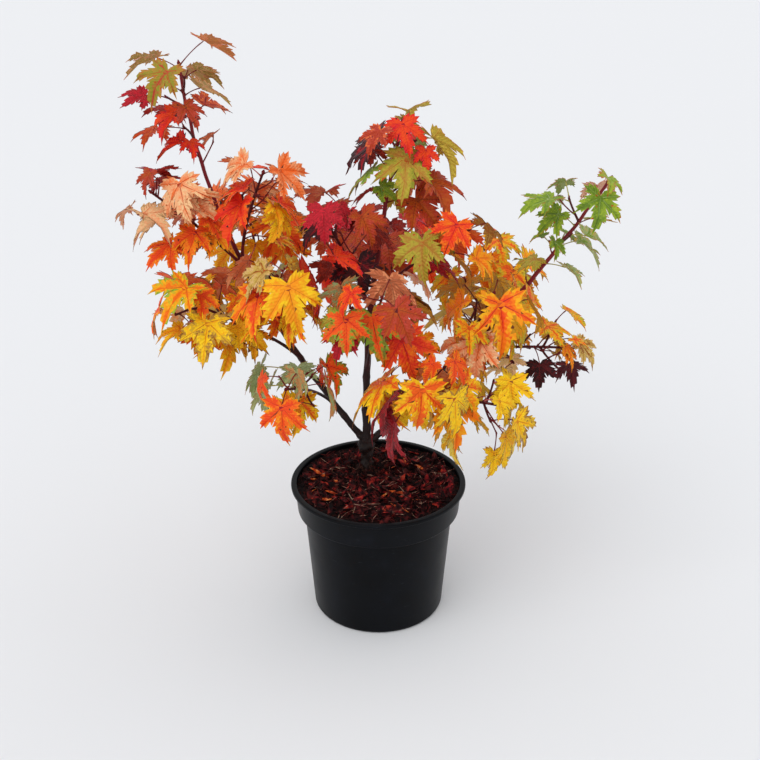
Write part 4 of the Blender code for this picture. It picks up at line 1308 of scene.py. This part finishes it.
# Each autumn tint: its veins, then the colours that follow one another from the heart through the blade
# and the margin to the tips, then its underside; how far the heart and the margin reach, as shares of the
# blade's length
tints = {
    "bronze": ("brick", ("rose", "bronze", "salmon", "rust"), "salmon", 0.05, 0.05, "wine"),
    "oliveBronze": ("rust", ("rose", "olive", "bronze", "rust"), "tan", 0.06, 0.06, "wine"),
    "brick": ("maroon", ("rust", "brick", "rose", "char"), "salmon", 0.05, 0.05, "wine"),
    "rose": ("crimson", ("brick", "rose", "coral", "char"), "salmon", 0.05, 0.05, "wine"),
    "magenta": ("maroon", ("rose", "magenta", "crimson", "char"), "salmon", 0.05, 0.04, "wine"),
    "scarlet": ("crimson", ("vermilion", "scarlet", "magenta", "char"), "coral", 0.07, 0.05, "wine"),
    "vermilion": ("crimson", ("scarlet", "vermilion", "tangerine", "char"), "salmon", 0.08, 0.05, "wine"),
    "flame": ("crimson", ("vermilion", "flame", "amber", "char"), "salmon", 0.09, 0.06, "wine"),
    "coral": ("brick", ("flame", "coral", "salmon", "char"), "peach", 0.07, 0.06, "wine"),
    "salmon": ("brick", ("coral", "salmon", "peach", "rust"), "blush", 0.05, 0.05, "stalkPink"),
    "peach": ("rust", ("salmon", "peach", "tan", "brown"), "blush", 0.04, 0.06, "wine"),
    "khaki": ("rust", ("umber", "khaki", "tan", "brown"), "peach", 0.04, 0.05, "wine"),
    "amber": ("brick", ("tangerine", "amber", "gold", "brown"), "khaki", 0.09, 0.06, "wine"),
    "amberFire": ("crimson", ("vermilion", "tangerine", "gold", "brown"), "tan", 0.10, 0.08, "wine"),
    "goldFire": ("brick", ("flame", "gold", "yellow", "brown"), "khaki", 0.10, 0.06, "wine"),
    "gold": ("rust", ("amber", "gold", "yellow", "umber"), "straw", 0.06, 0.07, "stalkPink"),
    "yellow": ("umber", ("gold", "yellow", "yellow", "brown"), "straw", 0.06, 0.05, "stalkPink"),
    "yellowBrown": ("rust", ("gold", "yellow", "bronze", "brown"), "straw", 0.04, 0.05, "wine"),
    "straw": ("umber", ("gold", "straw", "khaki", "umber"), "celadon", 0.05, 0.05, "stalkPink"),
    "oliveGold": ("rust", ("bronze", "moss", "olive", "rust"), "straw", 0.05, 0.06, "stalkOlive"),
    "rustOlive": ("brick", ("flame", "rust", "olive", "char"), "khaki", 0.09, 0.07, "wine"),
    "limeTipped": ("rust", ("tangerine", "gold", "lime", "leafGreen"), "straw", 0.06, 0.11, "wine"),
    "fireGreen": ("crimson", ("vermilion", "flame", "leafGreen", "brown"), "sage", 0.12, 0.09, "wine"),
    "goldGreen": ("rust", ("flame", "gold", "chartreuse", "rust"), "khaki", 0.07, 0.08, "wine"),
    "lime": ("olive", ("leafGreen", "lime", "chartreuse", "rust"), "celadon", 0.07, 0.06, "stalkOlive"),
    "green": ("sage", ("deepGreen", "leafGreen", "lime", "rust"), "sage", 0.06, 0.04, "stalkOlive"),
    "greenFlush": ("sage", ("leafGreen", "lime", "bronze", "brick"), "celadon", 0.06, 0.05, "wine"),
    "paleGreen": ("leafGreen", ("leafGreen", "sage", "khaki", "umber"), "celadon", 0.04, 0.05, "stalkOlive"),
    "sage": ("celadon", ("sage", "sage", "celadon", "tan"), "celadon", 0.04, 0.04, "stalkOlive"),
    "crimson": ("maroon", ("magenta", "crimson", "magenta", "char"), "rose", 0.05, 0.05, "wine"),
    "wine": ("maroon", ("crimson", "wine", "crimson", "maroon"), "crimson", 0.05, 0.06, "wine"),
    "maroon": ("plum", ("crimson", "maroon", "plum", "plum"), "rose", 0.05, 0.07, "wine"),
    "plum": ("maroon", ("maroon", "plum", "plum", "maroon"), "maroon", 0.03, 0.03, "wine"),
    "blush": ("rose", ("salmon", "blush", "peach", "rust"), "blush", 0.04, 0.05, "stalkPink"),
}
# How a leaf takes its tint: how much the reach of its heart and margin varies and how far its tips'
# colour goes; how far the whole leaf leans along its row of colours, and how they change along it and
# across it; its mottling, in waves of so many to the blade and their strength; how far
# on along the row the tips are, how much faces differ and how many are browned; above what mottling the
# underside is blended halfway to the blade's colour, its own paler colour with a painted glow of light
# shining through the leaf; how broad and how long the veins' colour shows
tintPlan = dict(
    heart=(0.5, 1.6), margin=(0.4, 1.6), tips=(0.06, 0.13), lean=0.18, slopes=(0.4, 0.5), mottled=1.1,
    mottle=((5, 1.0), (15, 0.6), (34, 0.4)), tipShift=2.6, scatter=0.25, freckles=0.01, pale=-0.15,
    veinShare=0.8, veinReach=0.85,
)
# Leaf: each lobe's tip and the hollow after it, in degrees from the midrib and shares of the blade's
# length, how far its two flanks bulge and how many teeth they carry; then the veins and how a blade bends
leafPlan = dict(
    tips=((0, 1.00), (45, 0.86), (102, 0.52)), hollows=((26, 0.34), (74, 0.31), (150, 0.17)),
    bulges=((0, 0.092), (0.04, 0.07), (0.03, 0.05)), teeth=((0, 3), (2, 3), (1, 2)), tooth=0.084,
    grid=0.056, veinWidth=(0.009, 0.0025), veinEnd=0.93, pleat=0.16, pleatReach=0.11, pleatBase=0.04,
    curl=(0.0, 1.25), curlFrom=0.5, fold=(-0.22, 0.30), skew=0.16, swing=0.2, swingFrom=0.3,
    ripples=((3.0, 0.07), (8.0, 0.022)), gather=0.10, gatherFrom=0.6, thickness=0.38, sizes=(0.90, 1.04),
    seed=17,
)
# Teeth along a lobe's flank: how large they start and how much they grow towards the hollow, how much
# they vary in size and place; the dip before a tooth, its point and its slant, and the foot behind it
toothPlan = dict(
    start=0.45, growth=0.9, vary=(0.8, 1.2), stray=0.02, before=0.055, dip=0.38, peak=0.62, slant=0.5,
    foot=0.02,
)
# Buds: one at the foot of each stalk and a longer one at the tip of each stem
budPlan = dict(length=(2.6, 3.8), tipLength=6, girth=0.36, sides=6)


def leafFinish(shades):
    # A leaf in autumn: satin and slightly waxy above, quilted between its side veins, in one plain base
    # colour, which is the mean of the named shades
    names = shades.split("+")
    title = "mapleLeaf" + "".join(name[0].upper() + name[1:] for name in names)
    if title in bpy.data.materials:
        return bpy.data.materials[title]
    both = [linearColour(leafColours[name]) for name in names]
    material, tree, shader = newMaterial(title, leafColours[names[0]], 0.5, IOR=1.4, Specular_IOR_Level=0.3)
    shader.inputs["Base Color"].default_value = [sum(parts) / len(parts) for parts in zip(*both)]
    spot = addNode(tree, "ShaderNodeTexCoord").outputs["Object"]
    veins = addNode(tree, "ShaderNodeUVMap", uv_map="veinMap")
    slant = addNode(tree, "ShaderNodeMapping", {"Vector": veins, "Rotation": (0, 0, math.radians(45))})
    # side veins every 6 mm or so, slanting forward from each main vein
    quilt = addNode(tree, "ShaderNodeTexWave", {
        "Vector": slant, "Scale": 5.2, "Distortion": 1.2, "Detail": 1.0,
    })
    # the mesh of the finest veins, 1.7 mm
    crinkle = addNoise(tree, spot, 600.0, 2.0)
    coarse = addNode(tree, "ShaderNodeBump", {"Strength": 0.45, "Distance": 0.0012, "Height": quilt})
    fine = addNode(tree, "ShaderNodeBump", {
        "Strength": 0.25, "Distance": 0.0004, "Height": crinkle, "Normal": coarse,
    })
    tree.links.new(fine.outputs[0], shader.inputs["Normal"])
    varyRoughness(tree, shader, crinkle, 0.46, 0.68)
    return material


def polar(degrees, share):
    turn = math.radians(degrees)
    return Vector((share * math.cos(turn), share * math.sin(turn)))


def lobeFlank(tip, hollow, count, bulge, rng):
    # the toothed edge from a lobe's tip down to the hollow beside it, without those two points
    run = hollow - tip
    outward = Vector((-run.y, run.x)).normalized()
    if outward.dot(hollow - hollow.project(tip)) < 0:
        outward = -outward
    ahead = -run.normalized()

    def edge(share, lift, forward=0.0):
        arc = bulge * math.sin(math.pi * min(1, max(0, share)) ** 1.6)
        return tip + share * run + (arc + lift) * outward + forward * ahead

    points, plan = [], toothPlan
    gap = 1 / (count + 0.85)
    for k in range(count):
        share = (k + 1.05) * gap + rng.uniform(-plan["stray"], plan["stray"])
        depth = leafPlan["tooth"] * (plan["start"] + plan["growth"] * share)
        depth = depth * rng.uniform(*plan["vary"]) * min(1, run.length / 0.45)
        points.append(edge(share - plan["before"], -plan["dip"] * depth))
        points.append(edge(share, plan["peak"] * depth, plan["slant"] * depth))
        points.append(edge(share + 0.45 * gap, plan["foot"] * depth))
    return points


def leafOutline(rng):
    # the edge of a blade of unit length, from its tip round, and the tips of its lobes

    def varied(mark, turning, stretching):
        # a place of the plan, turned and stretched a little by chance
        degrees = mark[0] * rng.uniform(*turning)
        return polar(degrees, mark[1] * rng.uniform(*stretching))

    halves, tips = [], [Vector((1, 0))]
    for side in (1, -1):
        ends = [varied(mark, (0.94, 1.06), (0.93, 1.05)) for mark in leafPlan["tips"]]
        ends[0] = Vector((1, 0))
        dips = [varied(mark, (0.96, 1.04), (0.88, 1.1)) for mark in leafPlan["hollows"]]
        half = []
        for k, (near, far) in enumerate(leafPlan["teeth"]):
            nearBulge, farBulge = leafPlan["bulges"][k]
            if k:
                half.append(dips[k - 1])
                half += reversed(lobeFlank(ends[k], dips[k - 1], near, nearBulge, rng))
                half.append(ends[k])
            half += lobeFlank(ends[k], dips[k], far, farBulge, rng)
        half.append(dips[-1])
        halves.append([Vector((point.x, side * point.y)) for point in half])
        tips += [Vector((end.x, side * end.y)) for end in ends[1:]]
    return [Vector((1, 0))] + halves[0] + [Vector((-0.02, 0))] + halves[1][::-1], tips


def nearest(points, starts, ends):
    # for each point the distance to the nearest of several straight stretches, and which one it is
    run = ends - starts
    reach = np.maximum((run**2).sum(1), 1e-12)
    away = points[:, None, :] - starts[None]
    share = np.clip((away * run[None]).sum(2) / reach[None], 0, 1)
    gaps = np.linalg.norm(away - share[:, :, None] * run[None], axis=2)
    return gaps.min(1), gaps.argmin(1)


def leafSheet(rng):
    # a flat blade of unit length as triangles, each with its distance to the edge, a vein and a lobe's tip
    edge, tips = leafOutline(rng)
    veins = [(Vector((0.03, 0)), tip * leafPlan["veinEnd"]) for tip in tips]
    points, lines = list(edge), []
    thick, thin = leafPlan["veinWidth"]
    for start, end in veins:
        side = Vector((-(end - start).y, (end - start).x)).normalized()
        first = len(points)
        for share in (0.12, 0.55, 1.0):
            width = thick + (thin - thick) * share
            spot = start.lerp(end, share)
            points += [spot + width * side, spot - width * side]
        loop = (0, 2, 4, 5, 3, 1, 0)  # round the vein's six points
        lines += [(first + loop[k], first + loop[k + 1]) for k in range(6)]
    grid = leafPlan["grid"]
    rows = []
    for i in range(-5, 15):
        for j in range(-11, 12):
            long = 0.866 * grid * i + rng.uniform(-0.2, 0.2) * grid
            wide = grid * (j + 0.5 * (i % 2)) + rng.uniform(-0.2, 0.2) * grid
            rows.append((long, wide))
    fill = np.array(rows)
    outer = np.array([tuple(point) for point in edge])
    edgeGap, _ = nearest(fill, outer, np.roll(outer, -1, 0))
    axes = np.array([(tuple(start), tuple(end)) for start, end in veins])
    veinGap, _ = nearest(fill, axes[:, 0], axes[:, 1])
    fill = fill[(edgeGap > 0.45 * grid) & (veinGap > 0.38 * grid)]
    points += [Vector(spot) for spot in fill.tolist()]
    spots, _, faces, *_ = delaunay_2d_cdt(points, lines, [list(range(len(edge)))], 1, 1e-5)
    spots = np.array([tuple(spot) for spot in spots])
    faces = np.array([face for face in faces if len(face) == 3])
    used = np.unique(faces)
    renumber = np.zeros(len(spots), int)
    renumber[used] = np.arange(len(used))
    spots, faces = spots[used], renumber[faces]
    corners = [spots[faces[:, k]] for k in range(3)]
    one, two = corners[1] - corners[0], corners[2] - corners[0]
    turned = one[:, 0] * two[:, 1] - one[:, 1] * two[:, 0] < 0
    middles = spots[faces].mean(1)
    faces[turned] = faces[turned][:, ::-1]
    edgeGap, _ = nearest(middles, outer, np.roll(outer, -1, 0))
    veinGap, vein = nearest(middles, axes[:, 0], axes[:, 1])
    ends = np.array([tuple(tip) for tip in tips])
    tipGap = np.linalg.norm(middles[:, None] - ends[None], axis=2).min(1)
    vertexGap, _ = nearest(spots, axes[:, 0], axes[:, 1])
    return spots, faces, middles, edgeGap, veinGap, vein, tipGap, vertexGap, axes


def bendBlade(spots, veinGap, leaf, rng):
    # carries a flat blade to its place: bent as the plain leaf is, then pleated, folded and rippled
    _, joint, directions, blade = leaf
    plan = leafPlan
    long, wide = spots[:, 0], spots[:, 1]
    reach = np.hypot(long, wide)
    lift = plainPlan["cup"] * np.abs(wide) - plainPlan["drop"] * long * np.abs(long)
    lift -= plainPlan["roll"] * wide**2
    lift += plan["pleat"] * (np.minimum(veinGap, plan["pleatReach"]) - plan["pleatBase"])
    lift += rng.uniform(*plan["fold"]) * np.abs(wide) + rng.gauss(0, plan["skew"]) * long * wide
    lift -= rng.uniform(*plan["curl"]) * np.maximum(0, reach - plan["curlFrom"]) ** 2
    around = np.arctan2(wide, long)
    for often in (2, 3):  # each lobe swings up or down its own way
        wave = np.cos(often * around + rng.uniform(0, 6))
        lift += rng.uniform(0, plan["swing"]) * wave * np.maximum(0, reach - plan["swingFrom"])
    for often, rise in plan["ripples"]:
        shift = Vector((rng.uniform(0, 50), rng.uniform(0, 50), 0))
        waves = np.array([noise.noise(Vector((x, y, 0)) * often + shift) for x, y in spots.tolist()])
        lift += rise * waves * np.minimum(1, reach * 1.6)
    long = long - plan["gather"] * np.maximum(0, reach - plan["gatherFrom"])
    ahead, across, face = (np.array(direction) for direction in directions)
    return np.array(joint) + blade * (long[:, None] * ahead + wide[:, None] * across + lift[:, None] * face)


def mixedShade(shades, place):
    # the shade at a place along a row of them, in half steps: halfway between two it is their mean
    place = min(len(shades) - 1, max(0, round(2 * place) / 2))
    low, high = shades[math.floor(place)], shades[math.ceil(place)]
    return low if low == high else "+".join(sorted((low, high)))


def tintFaces(sheet, tint, rng):
    # the shade of each face above and below: veins, heart, blade, margin and tips, mottled into each other
    _, _, middles, edgeGap, veinGap, _, tipGap, _, _ = sheet
    veins, shades, under, heartReach, marginReach, _ = tints[tint]
    plan = tintPlan
    heartReach *= rng.uniform(*plan["heart"])
    marginReach *= rng.uniform(*plan["margin"])
    tipReach = rng.uniform(*plan["tips"])
    lean = rng.gauss(0, plan["lean"])
    slopes = [rng.gauss(0, spread) for spread in plan["slopes"]]
    shift = Vector((rng.uniform(0, 90), rng.uniform(0, 90), 0))
    veinWidth = leafPlan["veinWidth"][0] * plan["veinShare"]
    upper, lower = [], []
    for (long, wide), edge, gap, tipFar in zip(middles.tolist(), edgeGap, veinGap, tipGap):
        spot = Vector((long, wide, 0))
        blotch = sum(share * noise.noise(spot * often + shift) for often, share in plan["mottle"])
        reach = math.hypot(long, wide)
        place = 1 + lean + slopes[0] * long + slopes[1] * wide + plan["mottled"] * blotch
        place -= max(0, 1 - gap * (0.5 + reach) / heartReach)
        place += max(0, 1 - edge / marginReach) + plan["tipShift"] * max(0, 1 - tipFar / tipReach)
        shade = shades[3]
        if rng.random() > plan["freckles"]:
            shade = mixedShade(shades, place + rng.gauss(0, plan["scatter"]))
        inVein = gap < veinWidth and reach < plan["veinReach"]
        if inVein:
            shade = veins if "+" in shade else mixedShade((shade, veins), 0.5)
        upper.append(shade)
        # underneath, faces above the mottling threshold are mixed halfway to the blade's colour: the
        # underside's own paler colour with a painted glow of light passing through the leaf; vein faces keep
        # the veins' colour
        beside = veins if inVein else shades[1]
        lower.append(mixedShade((under, beside), 0.5) if inVein or blotch > plan["pale"] else under)
    return upper, lower


def addLeaf(sheaf, leaf, tint, rng):
    # one leaf as a thin closed sheet, its own outline and bend, with the map that its veins' relief follows
    sheet = leafSheet(rng)
    spots, faces, _, _, _, vein, _, vertexGap, axes = sheet
    places = bendBlade(spots, vertexGap, leaf, rng)
    corners = [places[faces[:, k]] for k in range(3)]
    square = np.cross(corners[1] - corners[0], corners[2] - corners[0])
    normals = np.zeros_like(places)
    for k in range(3):
        np.add.at(normals, faces[:, k], square)
    normals /= np.maximum(np.linalg.norm(normals, axis=1), 1e-12)[:, None]
    half = leafPlan["thickness"] * mm / 2
    count = len(places)
    sides = {}  # the sides of faces that no neighbour shares, in order
    for face in faces.tolist():
        for start, end in ((face[0], face[1]), (face[1], face[2]), (face[2], face[0])):
            if (end, start) in sides:
                del sides[(end, start)]
            else:
                sides[(start, end)] = True
    top, bottom = faces, faces[:, ::-1] + count
    walls = [(end, start, start + count, end + count) for start, end in sides]
    upper, lower = tintFaces(sheet, tint, rng)
    rim = tints[tint][1][3]
    everything = np.vstack([places + half * normals, places - half * normals]).tolist()
    shades = upper + lower + [rim] * len(walls)
    sheaf.add(everything, top.tolist() + bottom.tolist() + walls, shades)
    run = axes[:, 1] - axes[:, 0]
    run /= np.linalg.norm(run, axis=1)[:, None]
    own = run[vein]
    for block in (faces, faces[:, ::-1]):
        away = spots[block] - axes[vein, 0][:, None]
        ahead = (away * own[:, None]).sum(2)
        aside = np.abs(away[:, :, 0] * own[:, None, 1] - away[:, :, 1] * own[:, None, 0])
        sheaf.corners += np.dstack([ahead, aside]).ravel().tolist()
    sheaf.corners += [0.0, 0.0] * (4 * len(walls))


def curvedStalk(leaf, rng):
    # a slender stalk, thicker where it leaves the stem, that arches over to the blade
    root, joint, (ahead, across, _), blade = leaf
    middle = root.lerp(joint, 0.5)
    middle = middle + 0.10 * (joint - root).length * (up + rng.uniform(-0.6, 0.6) * across)
    end = joint + 0.02 * blade * ahead
    girths = (1.5, 1.0, 0.8, 0.75, 0.75, 0.8, 0.95, 0.7)
    path = [arch(root, middle, end, i / (len(girths) - 1)) for i in range(len(girths))]
    return tube(path, [plainPlan["stalkRadius"] * mm * girth for girth in girths], 6)


def budShape(spot, way, length):
    # a pointed bud in overlapping scales
    marks = ((0, 0.55), (0.2, 1.0), (0.45, 0.95), (0.48, 0.8), (0.75, 0.55), (1.0, 0.08))
    path = [spot + share * length * way for share, _ in marks]
    return tube(path, [budPlan["girth"] * length * girth for _, girth in marks], budPlan["sides"])


def makeFoliage(grown):
    sheaves = {slot: Sheaf() for slot in sorted({slotOf["foliage_" + name] for name in masses})}
    stalks, twigSheaf, buds = Sheaf(), Sheaf(), Sheaf()
    rng = random.Random(leafPlan["seed"])
    for name, (path, radii, twigs, leaves, finer) in grown.items():
        mass = masses[name]
        sheaf = sheaves[slotOf["foliage_" + name]]
        top = (mass["middle"][2] + 0.8 * mass["half"][2]) * mm
        span = 1.6 * mass["half"][2] * mm
        count = len(mass["tints"])
        dealt = dict(mass.get("sprays", {}))
        for leaf, spray in leaves:
            leaf = leaf[:3] + (leaf[3] * mass["slim"] * rng.uniform(*leafPlan["sizes"]),)
            if spray not in dealt:
                level = (top - leaf[1].z) / span * count + rng.uniform(-0.8, 0.8)
                dealt[spray] = mass["tints"][max(0, min(count - 1, int(level)))]
            tint = dealt[spray]
            addLeaf(sheaf, leaf, tint, rng)
            stalks.add(*curvedStalk(leaf, rng), tints[tint][5])
            way = ((leaf[1] - leaf[0]).normalized() + up).normalized()
            length = rng.uniform(*budPlan["length"]) * mm
            buds.add(*budShape(leaf[0] + 1.2 * mm * way, way, length), "wine")
        line, girths = smoothPath(path, radii, 4)
        inside = line[0] - 3 * mm * (line[1] - line[0]).normalized()
        stem = tube([inside] + line, [girths[0]] + girths, 10)
        twigSheaf.add(*stem, "twigRed" if mass["at"] else "shootRed")
        onward = (line[-1] - line[-2]).normalized()
        buds.add(*budShape(line[-1], onward, budPlan["tipLength"] * mm), "wine")
        for start, end in twigs:
            twigSheaf.add(*twigShape(start, end, twigPlan["radius"], rng), "twigRed")
        for start, end in finer:
            twigSheaf.add(*twigShape(start, end, finerPlan["radius"], rng), "wine")
    nodes = {name: "foliage_" + name for name in masses}
    for slot, sheaf in sheaves.items():
        piece = sheaf.piece("leaves" + slot.split("_")[1].title(), leafFinish, sharp=62)
        keepPiece(piece, slot, *[node for node in nodes.values() if slotOf[node] == slot])
    keepPiece(stalks.piece("leafStalks", leafFinish), "foliage_red", *nodes.values())
    keepPiece(twigSheaf.piece("twigs", leafFinish), "bark", *nodes.values())
    keepPiece(buds.piece("buds", leafFinish), "foliage_red", *nodes.values())


def twigShape(start, end, radius, rng):
    # a slender twig, swollen at its foot and at its joint, with a slight bow
    run = end - start
    bow = 0.05 * run.length * sideWays(run.normalized(), rng.uniform(0, 6))[0]
    marks = ((0, 1.7), (0.08, 1.15), (0.3, 1.0), (0.6, 0.92), (0.84, 0.92), (0.92, 1.15), (1.0, 0.8))
    path = [start + share * run + 4 * share * (1 - share) * bow for share, _ in marks]
    return tube(path, [radius * mm * girth for _, girth in marks], 7)


makeStudio()
makePot()
makeCompost()
leaders, limbs, grown = growCrown()
makeWood(leaders, limbs)
makeFoliage(grown)
